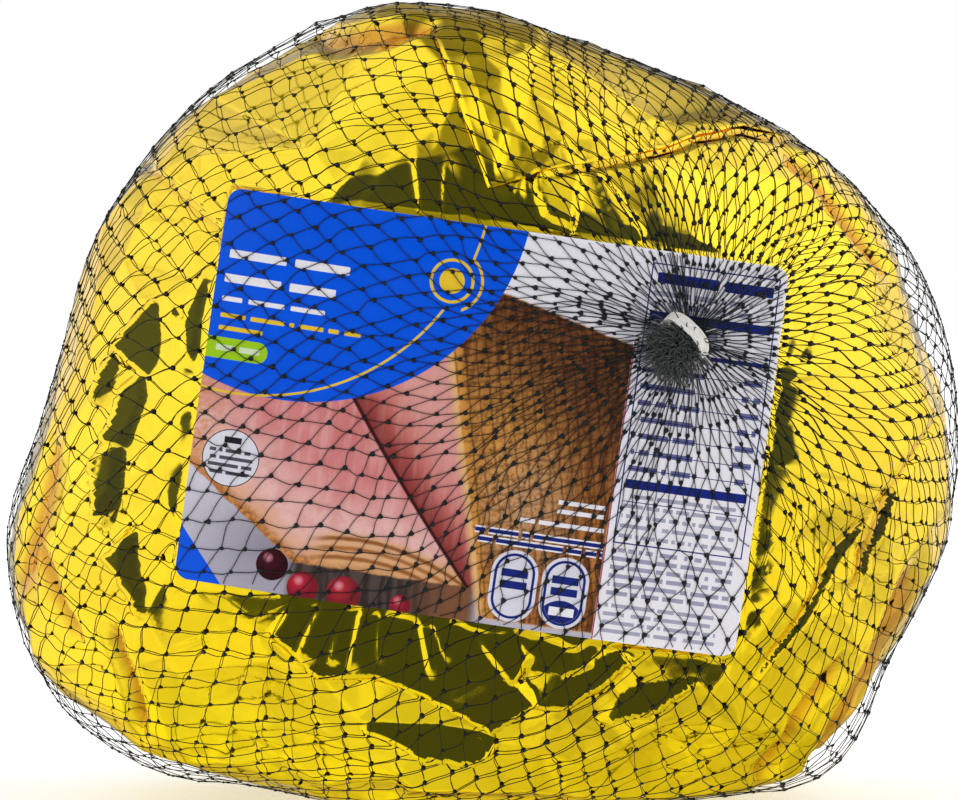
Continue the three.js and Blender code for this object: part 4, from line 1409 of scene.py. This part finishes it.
def knot_directions(columns, shares):
    """Directions from the middle to every knot, as (rows, columns, 3)."""
    axis, side, rise = net_axes()
    turns = np.arange(2 * columns) * math.pi / columns
    angles = np.linspace(0, math.pi, 401)
    ring = np.cos(turns)[:, None, None] * side + np.sin(turns)[:, None, None] * rise
    paths = np.cos(angles)[None, :, None] * axis + np.sin(angles)[None, :, None] * ring
    points = form_point(paths)
    lengths = np.cumsum(np.linalg.norm(np.diff(points, axis=1), axis=2), axis=1)
    lengths = np.concatenate([np.zeros((2 * columns, 1)), lengths], axis=1)
    knots = np.empty((len(shares), columns, 3))
    for half in range(2 * columns):
        way = lengths[half, -1] - 2 * NET_COLLAR
        at = np.interp(NET_COLLAR + shares * way, lengths[half], angles)
        directions = np.cos(at)[:, None] * axis + np.sin(at)[:, None] * ring[half]
        rows = np.arange(half % 2, len(shares), 2)
        knots[rows, half // 2] = directions[rows]
    return knots


def skin_tree(pieces):
    """A search tree of the pieces' faces, in millimetres."""
    corners, faces = [], []
    for piece in pieces:
        base = len(corners)
        corners += get_points(piece.data).tolist()
        faces += [tuple(v + base for v in face.vertices) for face in piece.data.polygons]
    return BVHTree.FromPolygons(corners, faces)


def outermost(tree, directions):
    """Distance from the middle to the outside along each direction."""
    reach = 260.0
    distances = np.empty(len(directions))
    starts = PACK_MIDDLE + directions * reach
    for k, (start, direction) in enumerate(zip(starts.tolist(), directions.tolist())):
        distance = tree.ray_cast(Vector(start), -Vector(direction))[3]
        if distance is None:
            raise RuntimeError("the skin has a hole")
        distances[k] = reach - distance
    return distances


class Drape:
    """Lays the net: on the pack's full form over hollows and close to the foil elsewhere."""

    def __init__(self, pieces):
        self.skin = skin_tree(pieces)

    def lay(self, directions, lift):
        """Points of the net in the directions from the middle, and the normals there."""
        foil = outermost(self.skin, directions)
        stand = np.maximum(form_radius(directions) - foil, 0)
        share = 0.15 + 0.85 * fade((stand - 1.0) / 3.0)
        points = PACK_MIDDLE + directions * (foil + stand * share + lift)[:, None]
        return points, form_normal(points)

    def clear(self, points, gap):
        """The points, pushed out where they would sink into the foil."""
        offset = points - PACK_MIDDLE
        distance = np.linalg.norm(offset, axis=-1)
        directions = offset / distance[:, None]
        foil = outermost(self.skin, directions)
        return PACK_MIDDLE + directions * np.maximum(distance, foil + gap)[:, None]


def bunching(turns, reach):
    """How far columns of knots are drawn together near the gather, as a turn about the axis."""
    shift = np.zeros(np.broadcast(turns, reach).shape)
    for middle, width, pull in BUNCHES:
        away = np.mod(turns - math.radians(middle) + math.pi, TURN) - math.pi
        spread = math.radians(width)
        shift -= pull * away * np.exp(-((away / spread) ** 2))
    return shift * (1 - fade((reach - 12) / 55))


def make_net_material(settings):
    """Matte black plastic cord."""
    material, kit, shader = new_material("net_cord")
    place = kit.place()
    light = tuple(min(1.0, c * 1.7 + 0.004) for c in settings.colour)
    tone = kit.spread(kit.noise(place, 420, 3, 0.6), 0.4, 0.7)
    kit.put(shader.inputs["Base Color"], kit.mix(tone, (*settings.colour, 1), (*light, 1)))
    kit.put(shader.inputs["Roughness"], kit.spread(kit.noise(place, 900, 2), 0.35, 0.65, 0.40, 0.58))
    shader.inputs["Specular IOR Level"].default_value = 0.26
    fibre = kit.noise(kit.vector("MULTIPLY", place, (1.0, 1.0, 0.4)), 5200, 2)
    kit.put(shader.inputs["Normal"], kit.bump(fibre, 0.00005, 0.6))
    return material


def gather_place(end):
    """Where a neck leaves the net, and its axes: along the clip, down and out."""
    axis = net_axes()[0] * (1 if end == "front" else -1)
    foot = form_point(axis[None])[0]
    seat = foot + form_normal(foot[None])[0] * GATHER_SEAT
    lean = np.array(GATHER_LEANS[end])
    out = unit(lean)
    along = unit(np.cross(np.array((lean[0], 0, lean[2])), out))
    return seat, along, np.cross(out, along), out


class Knots:
    """The net's knots: their points, their directions on the pack and how far the gathers are."""

    def __init__(self, settings, drape, rng):
        self.columns = settings.columns
        shares = row_shares(self.columns, to_mm(settings.strand))
        self.rows = len(shares)
        even = knot_directions(self.columns, shares).reshape(-1, 3)
        axis, side, rise = net_axes()
        turns = np.arctan2(even @ rise, even @ side)
        front_reach = np.linalg.norm(form_point(even) - form_point(axis[None]), axis=1)
        back_reach = np.linalg.norm(form_point(even) - form_point(-axis[None]), axis=1)
        self.reach = np.minimum(front_reach, back_reach)
        shift = bunching(turns, front_reach) + bunching(turns + BACK_BUNCH_TURN, back_reach)
        swung = even * np.cos(shift)[:, None] + np.cross(axis, even) * np.sin(shift)[:, None]
        swung += axis * ((even @ axis) * (1 - np.cos(shift)))[:, None]
        places = form_point(unit(swung))
        drift = np.stack([waves(places, rng, 46) for _ in range(3)], axis=-1) * 0.9
        shake = rng.normal(size=places.shape) * to_mm(settings.shake)
        calm = fade((np.arange(self.rows) - 1) / 8)
        calm = np.minimum(calm, calm[::-1]).repeat(self.columns)[:, None]
        toward = unit(axis - even * (even @ axis)[:, None])
        ripple = sum(np.sin(turns * k + rng.uniform(0, TURN)) for k in (3, 5, 8, 13)) * 0.5
        near = fade(front_reach / 14) * (1 - fade((front_reach - 22) / 50))
        slip = (ripple * 1.9 + rng.normal(size=len(even)) * 0.35) * near
        moved = places + (drift + shake) * (0.35 + 0.65 * calm) + toward * slip[:, None]
        self.points, self.skin = drape.lay(unit(moved - PACK_MIDDLE), KNOT_LIFT)
        self.out = self.outward_directions()
        self.across = np.cross(self.skin, self.out)

    def row(self, row):
        """The points of one row's knots."""
        return self.points[row * self.columns:(row + 1) * self.columns]

    def beside(self, row, step):
        """Columns in the next rows of the knots on one side (0) and the other (1) of a row's."""
        return (np.arange(self.columns) + row % 2 - 1 + step) % self.columns

    def between(self, row, other):
        """The middles between the two knots of another row that a row's knots are tied to."""
        if other == row:
            return self.row(row)
        return (self.row(other)[self.beside(row, 0)] + self.row(other)[self.beside(row, 1)]) / 2

    def outward_directions(self):
        """Directions on the pack from the row before each knot to the row after it."""
        outwards = []
        for row in range(self.rows):
            after = self.between(row, min(row + 1, self.rows - 1))
            outwards.append(after - self.between(row, max(row - 1, 0)))
        outwards = np.concatenate(outwards)
        return unit(outwards - self.skin * np.sum(outwards * self.skin, axis=-1, keepdims=True))


class Strands:
    """The strands between knots: where each starts, its curve's corners, its frame and its bow."""

    def __init__(self, knots, length, rng):
        starts, ends = [], []
        for row in range(knots.rows - 1):
            for step in (0, 1):
                starts.append(row * knots.columns + np.arange(knots.columns))
                ends.append((row + 1) * knots.columns + knots.beside(row, step))
        starts = np.concatenate(starts)
        ends = np.concatenate(ends)
        way = knots.points[ends] - knots.points[starts]
        lean = np.sign(np.sum(way * knots.across[starts], axis=-1))[:, None]
        first = knots.points[starts] + knots.out[starts] * length * 0.30
        first = first + knots.across[starts] * lean * 0.07
        last = knots.points[ends] - knots.out[ends] * length * 0.30
        last = last - knots.across[ends] * lean * 0.22 * length
        chord = last - first
        span = np.linalg.norm(chord, axis=-1)[:, None]
        normal = unit(knots.skin[starts] + knots.skin[ends])
        self.side = unit(np.cross(chord, normal))
        self.normal = np.cross(self.side, chord / span)
        eager = rng.uniform(0.12, 0.30, size=(len(starts), 1))
        late = rng.uniform(0.10, 0.22, size=(len(starts), 1))
        control = first + knots.out[starts] * eager * span
        arrive = last - (0.8 * chord / span + 0.35 * knots.out[ends]) * late * span
        self.corners = (first, control, arrive, last)
        self.bow = rng.normal(size=(len(starts), 1)) * 0.028 * span
        self.starts = starts


def make_strands(name, strands, chosen, stations, thickness, drape, material):
    """The chosen strands as tubes that stay clear of the foil."""
    t = np.linspace(0, 1, stations)[None, :, None]
    lines = bezier(t, *(part[chosen][:, None] for part in strands.corners))
    sides = strands.side[chosen][:, None]
    lines = lines + sides * strands.bow[chosen][:, None] * np.sin(math.pi * t)
    inner = lines[:, 1:-1]
    lines[:, 1:-1] = drape.clear(inner.reshape(-1, 3), thickness / 2 + 0.04).reshape(inner.shape)
    frame = (sides, strands.normal[chosen][:, None])
    make_cords(name, lines, frame, thickness / 2 * STRAND_SWELL, material, "net")


def knot_template():
    """One knot's corners, two tips with three rings of four between them, and its faces."""
    quarters = ((1, 0), (0, 1), (-1, 0), (0, -1))
    corners = [(KNOT_TIPS[0], 0, 0)]
    corners += [(m, w * a, t * b) for m, w, t in KNOT_RINGS for a, b in quarters]
    corners.append((KNOT_TIPS[1], 0, 0))
    tips, bands = [], []
    for k in range(4):
        after = (k + 1) % 4
        tips.append((0, 1 + after, 1 + k))
        tips.append((13, 9 + k, 9 + after))
        for low in (1, 5):
            bands.append((low + k, low + after, low + 4 + after, low + 4 + k))
    return np.array(corners), tips, bands


def make_knots(knots, length, material, rng):
    """The knots, turned unevenly and drawn out thin near the gathers."""
    total = len(knots.points)
    turn = (rng.normal(size=total) * 0.2)[:, None]
    size = length * rng.uniform(0.82, 1.12, size=total)
    drawn = 1 - fade((knots.reach - 8) / 16)[:, None]
    size *= 1 - 0.3 * drawn[:, 0]
    forward = knots.out * np.cos(turn) + knots.across * np.sin(turn)
    sideways = knots.across * np.cos(turn) - knots.out * np.sin(turn)
    corners, tips, bands = knot_template()
    shape = corners[None, :, 0:1] * (forward * (1 + 0.45 * drawn))[:, None]
    shape = shape + corners[None, :, 1:2] * (sideways * (1 - 0.35 * drawn))[:, None]
    shape = (shape + corners[None, :, 2:3] * knots.skin[:, None]) * size[:, None, None]
    points = (knots.points[:, None] + shape).reshape(-1, 3)
    points[:, 2] = np.maximum(points[:, 2], 0.0)
    base = np.arange(total)[:, None, None] * len(corners)
    faces = (np.array(tips)[None] + base).reshape(-1, 3).tolist()
    faces += (np.array(bands)[None] + base).reshape(-1, 4).tolist()
    piece = new_piece("net_knots", points, faces, material)
    turned_out(piece)
    finish_piece(piece, "net")


def make_necks(knots, half_width, material, rng):
    """The necks: the strands of each end's last row of knots, drawn up through the clip."""
    lines = []
    t = np.linspace(0, 1, 7)[:, None]
    for end, row in (("front", 0), ("back", knots.rows - 1)):
        seat, along, down, out = gather_place(end)
        middle = knots.row(row).mean(axis=0)
        for start in knots.row(row):
            offset = start - middle
            turn = math.atan2(offset @ down, offset @ along)
            reach = 2.1 + rng.uniform(-0.5, 0.3)
            ring = along * math.cos(turn) * reach * 1.4 + down * math.sin(turn) * reach
            foot = seat + ring * 1.15 + out * rng.uniform(0.8, 1.8)
            top = seat + ring + out * 7.0
            lines.append((1 - t) ** 2 * start + 2 * t * (1 - t) * foot + t**2 * top)
    lines = np.array(lines)
    make_cords("net_necks", lines, cross_frame(lines), half_width, material, "net")


def make_net(settings, under):
    """The net: knots spread in rows between the gathers, joined by slightly wavy strands."""
    rng = np.random.default_rng(settings.seed)
    drape = Drape(under)
    knots = Knots(settings, drape, rng)
    length = to_mm(settings.knot)
    thickness = to_mm(settings.cord)
    strands = Strands(knots, length, rng)
    material = make_net_material(settings)
    in_front = strands.starts < knots.rows // 2 * knots.columns
    make_strands("net_strands_front", strands, in_front, 5, thickness, drape, material)
    make_strands("net_strands_back", strands, ~in_front, 4, thickness, drape, material)
    make_knots(knots, length, material, rng)
    make_necks(knots, thickness / 2 * NECK_SWELL, material, rng)


# ---- Gathers -------------------------------------------------------------------------------------


def clip_axes(end):
    """The clip's middle and axes, tipped over on the neck so that its side faces forwards."""
    seat, along, down, out = gather_place(end)
    tipped = out * math.cos(CLIP_TIP) + down * math.sin(CLIP_TIP)
    middle = seat + out * CLIP_HEIGHT - down * 1.9 + along * 1.0
    return middle, along, down * math.cos(CLIP_TIP) - out * math.sin(CLIP_TIP), tipped


def make_tuft(end, settings, material):
    """A burst of curled cut strands from the neck, spilling down over the clip's lower side."""
    rng = np.random.default_rng(TUFT_SEEDS[end])
    seat, along, down, out = gather_place(end)
    middle, _, _, tipped = clip_axes(end)
    count = settings.strands
    t = np.linspace(0, 1, 14)[None, :, None]

    def draw(low, high):
        """An uneven value for each strand."""
        return rng.uniform(low, high, (count, 1, 1))

    turn = draw(0, TURN)
    rim = np.sqrt(draw(0, 1))
    ring = along * np.cos(turn) * 1.3 + down * np.sin(turn)
    start = seat + out * 3.4 + ring * rim * 1.9
    through = middle + tipped * 1.5 + ring * rim * 2.0
    centre = middle + down * 4.8 - along * 1.2 + out * 1.0
    dome = np.sqrt(1 - 0.92 * rim**2)
    spike = 1 + 0.32 * draw(0, 1) ** 4
    finish = centre + (along * np.cos(turn) * 1.16 + down * np.sin(turn)) * 8.2 * rim * spike
    finish = finish + out * (dome * 4.6 - 1.2 + draw(-1.2, 0.8))
    bend = (through + finish) / 2 + out * draw(1.0, 2.8)
    lines = bezier(t, start, through, bend, finish)
    curl = to_mm(settings.curl) * draw(0.3, 1.5) * fade((t - 0.25) * 2.6)
    twist = draw(0, TURN) + t * draw(5, 15)
    coil = along * np.cos(twist) + down * np.sin(twist) + out * np.sin(twist * 1.3) * 0.7
    lines = lines + curl * coil
    make_cords(f"net_tuft_{end}_strands", lines, cross_frame(lines), 0.16, material, f"net_tuft_{end}")


def make_clip_material(settings):
    """Off-white moulded band."""
    material, kit, shader = new_material("white_clip")
    place = kit.place()
    worn = tuple(c * 0.86 for c in settings.clip_colour)
    tone = kit.spread(kit.noise(place, 350, 4, 0.6), 0.42, 0.7)
    kit.put(shader.inputs["Base Color"], kit.mix(tone, (*settings.clip_colour, 1), (*worn, 1)))
    kit.put(shader.inputs["Roughness"], kit.spread(kit.noise(place, 500, 2), 0.4, 0.6, 0.32, 0.46))
    shader.inputs["Subsurface Weight"].default_value = 0.15
    shader.inputs["Subsurface Radius"].default_value = (0.002, 0.0018, 0.0014)
    kit.put(shader.inputs["Normal"], kit.bump(kit.noise(place, 1500, 2), 0.00004, 0.5))
    return material


def clip_ring(share, axes):
    """The band's section at a share of its turn round the neck: thinner at its lapped tip."""
    middle, along, down, out = axes
    first, last = CLIP_TURNS
    half_long = (CLIP_LENGTH - CLIP_WALL) / 2
    half_short = (CLIP_BREADTH - CLIP_WALL) / 2
    angle = math.radians(CLIP_START) - share * TURN
    c, s = math.cos(angle), math.sin(angle)
    power = CLIP_SQUARENESS
    reach = (abs(c / half_long) ** power + abs(s / half_short) ** power) ** (-1 / power)
    lap = 1.15 * fade((share - 0.86) / 0.14)
    place = middle + (along * c + down * s) * (reach + lap)
    outwards = unit(along * c * abs(c) ** 0.8 / half_long + down * s * abs(s) ** 0.8 / half_short)
    taper = fade((share - first) / 0.03) * (0.30 + 0.70 * fade((last - share) / 0.13))
    thin = 0.45 + 0.55 * fade((last - share) / 0.06)
    section = np.array(CLIP_SECTION) * (1.25, 1.0)
    return place + out * (section[:, 0:1] * taper) + outwards * (section[:, 1:2] * thin)


def make_clip(end, material):
    """A clip: a ribbed band wound once round the neck, its tapered tip lapped over its start."""
    axes = clip_axes(end)
    points = np.concatenate([clip_ring(share, axes) for share in np.linspace(*CLIP_TURNS, CLIP_STATIONS)])
    size = len(CLIP_SECTION)
    faces = []
    for base in range(0, (CLIP_STATIONS - 1) * size, size):
        for k in range(size):
            a, b = base + k, base + (k + 1) % size
            faces.append((a, b, b + size, a + size))
    faces.append(tuple(range(size))[::-1])
    faces.append(tuple(range(len(points) - size, len(points))))
    piece = new_piece(f"clip_{end}_band", points, faces, material)
    turned_out(piece)
    activate(piece)
    bpy.ops.object.shade_smooth_by_angle(angle=math.radians(38))
    finish_piece(piece, f"clip_{end}")


# ---- Stage ---------------------------------------------------------------------------------------


def make_world(settings):
    """A white tent: bright sides, a softer top and a dark opening in front."""
    world = bpy.data.worlds.new("white_tent")
    bpy.context.scene.world = world
    world.use_nodes = True
    kit = NodeKit(world.node_tree)
    spread, plus, times, scaled = kit.spread, kit.plus, kit.times, kit.scaled
    looks = kit.add("ShaderNodeTexCoord").outputs["Generated"]
    x, y, z = kit.split(looks)
    right = times(spread(x, 0.15, 0.52), scaled(z, 0.95, 0.72))
    left = times(spread(scaled(z, 0.14, times(x, -0.95)), 0.16, 0.50), scaled(z, 0.42, 0.56))
    low_left = spread(scaled(z, -0.6, times(x, -0.8)), 0.30, 0.60)
    above = spread(z, 0.10, 0.60)
    below = spread(z, -0.10, -0.60)
    behind = spread(y, 0.10, 0.60)
    cloudy = spread(kit.noise(looks, 2.6, 2, 0.55), 0.36, 0.64, 0.78, 1.06)
    tone = plus(scaled(above, -0.30, 0.62), times(below, 0.12), plus(right, left))
    tone = scaled(low_left, 0.20, tone)
    tone = times(times(tone, scaled(behind, -0.16, 1.0)), cloudy)
    glare = kit.calc("MAXIMUM", kit.minus(tone, 1.0), 0.0)
    tone = times(scaled(glare, -0.60, tone), settings.light)

    ahead = kit.calc("MAXIMUM", times(y, -1), 0.001)
    across = kit.calc("DIVIDE", kit.size(x), ahead)
    up = kit.calc("DIVIDE", kit.size(z), ahead)
    far = kit.calc("SQRT", plus(times(across, across), times(up, up)))
    lifted = spread(kit.calc("DIVIDE", z, ahead), 0.2, 0.7)
    opening = spread(far, scaled(lifted, -0.06, 0.68), scaled(lifted, 0.20, 0.80), 1, 0)
    opening = times(opening, kit.calc("LESS_THAN", y, 0.0))
    dim = kit.mix(spread(x, -0.10, -0.40), (0.058, 0.074, 0.26, 1), (0.088, 0.110, 0.24, 1))
    shade = kit.mix(opening, kit.join(tone, tone, tone), dim)

    seen = kit.add("ShaderNodeLightPath").outputs["Is Camera Ray"]
    background = next(n for n in world.node_tree.nodes if n.type == "BACKGROUND")
    kit.put(background.inputs["Color"], kit.mix(seen, shade, (1, 1, 1, 1)))


def make_stage(settings):
    """Floor, light and camera."""
    scene = bpy.context.scene
    scene.view_settings.view_transform = "Standard"
    make_world(settings)
    deselect()
    bpy.ops.mesh.primitive_circle_add(
        vertices=96, radius=3.0, fill_type="NGON", location=(0, 0, -0.0002)
    )
    floor = bpy.context.active_object
    floor.name = "floor"
    material, _, shader = new_material("pale_floor")
    shader.inputs["Base Color"].default_value = (0.96, 0.96, 0.96, 1)
    shader.inputs["Roughness"].default_value = 0.8
    shader.inputs["Specular IOR Level"].default_value = 0.0
    shader.inputs["Emission Color"].default_value = (1, 1, 1, 1)
    shader.inputs["Emission Strength"].default_value = 0.45
    floor.data.materials.append(material)
    floor.visible_glossy = False
    camera = bpy.data.cameras.new("camera")
    holder = bpy.data.objects.new("camera", camera)
    scene.collection.objects.link(holder)
    target = Vector(CAMERA_TARGET)
    back = Vector((0, -math.cos(settings.elevation), math.sin(settings.elevation)))
    holder.location = target + back * settings.distance
    holder.rotation_euler = (-back).to_track_quat("-Z", "Y").to_euler()
    camera.sensor_width = SENSOR_WIDTH
    camera.lens = SENSOR_WIDTH * settings.distance / settings.width
    camera.clip_start = 0.05
    camera.clip_end = 50
    scene.camera = holder


# ---- Operators -----------------------------------------------------------------------------------


class HAM_OT_foil(bpy.types.Operator):
    """Make the crumpled foil pack"""

    bl_idname = "ham.foil"
    bl_label = "Foil"

    def execute(self, context):
        make_flap(make_foil(context.scene.ham_foil))
        return {"FINISHED"}


class HAM_OT_label(bpy.types.Operator):
    """Make the printed label"""

    bl_idname = "ham.label"
    bl_label = "Label"

    def execute(self, context):
        make_label(context.scene.ham_label)
        return {"FINISHED"}


class HAM_OT_net(bpy.types.Operator):
    """Make the knotted net over the foil and the label"""

    bl_idname = "ham.net"
    bl_label = "Net"

    def execute(self, context):
        under = [bpy.data.objects[name] for name in ("foil_wrap", "foil_flap", "label_sheet")]
        make_net(context.scene.ham_net, under)
        return {"FINISHED"}


class HAM_OT_gathers(bpy.types.Operator):
    """Make the clips and the tufts where the net is gathered"""

    bl_idname = "ham.gathers"
    bl_label = "Clips and Tufts"

    def execute(self, context):
        settings = context.scene.ham_gathers
        white = make_clip_material(settings)
        black = bpy.data.materials["net_cord"]
        for end in ("front", "back"):
            make_tuft(end, settings, black)
            make_clip(end, white)
        return {"FINISHED"}


class HAM_OT_stage(bpy.types.Operator):
    """Make the floor, the light and the camera"""

    bl_idname = "ham.stage"
    bl_label = "Stage"

    def execute(self, context):
        make_stage(context.scene.ham_stage)
        return {"FINISHED"}


class HAM_PT_pack(bpy.types.Panel):
    """Lists the steps that build the pack"""

    bl_idname = "HAM_PT_pack"
    bl_label = "Netted Foil Ham"
    bl_space_type = "VIEW_3D"
    bl_region_type = "UI"
    bl_category = "Ham"

    def draw(self, context):
        for step, group in STEPS:
            box = self.layout.box()
            box.operator(step)
            settings = getattr(context.scene, group)
            for name in settings.__annotations__:
                box.prop(settings, name)


STEPS = (
    ("ham.foil", "ham_foil"),
    ("ham.label", "ham_label"),
    ("ham.net", "ham_net"),
    ("ham.gathers", "ham_gathers"),
    ("ham.stage", "ham_stage"),
)
GROUPS = {
    "ham_foil": FoilSettings,
    "ham_label": LabelSettings,
    "ham_net": NetSettings,
    "ham_gathers": GatherSettings,
    "ham_stage": StageSettings,
}
CLASSES = (
    FoilSettings, LabelSettings, NetSettings, GatherSettings, StageSettings,
    HAM_OT_foil, HAM_OT_label, HAM_OT_net, HAM_OT_gathers, HAM_OT_stage, HAM_PT_pack,
)


def register():
    """Registers the classes and their settings."""
    for cls in CLASSES:
        bpy.utils.register_class(cls)
    for name, group in GROUPS.items():
        setattr(bpy.types.Scene, name, PointerProperty(type=group))


def unregister():
    """Removes the settings and the classes."""
    for name in GROUPS:
        delattr(bpy.types.Scene, name)
    for cls in reversed(CLASSES):
        bpy.utils.unregister_class(cls)


def main():
    """Builds the pack and its stage."""
    register()
    bpy.ops.ham.foil()
    bpy.ops.ham.label()
    bpy.ops.ham.net()
    bpy.ops.ham.gathers()
    bpy.ops.ham.stage()


if __name__ == "__main__":
    main()
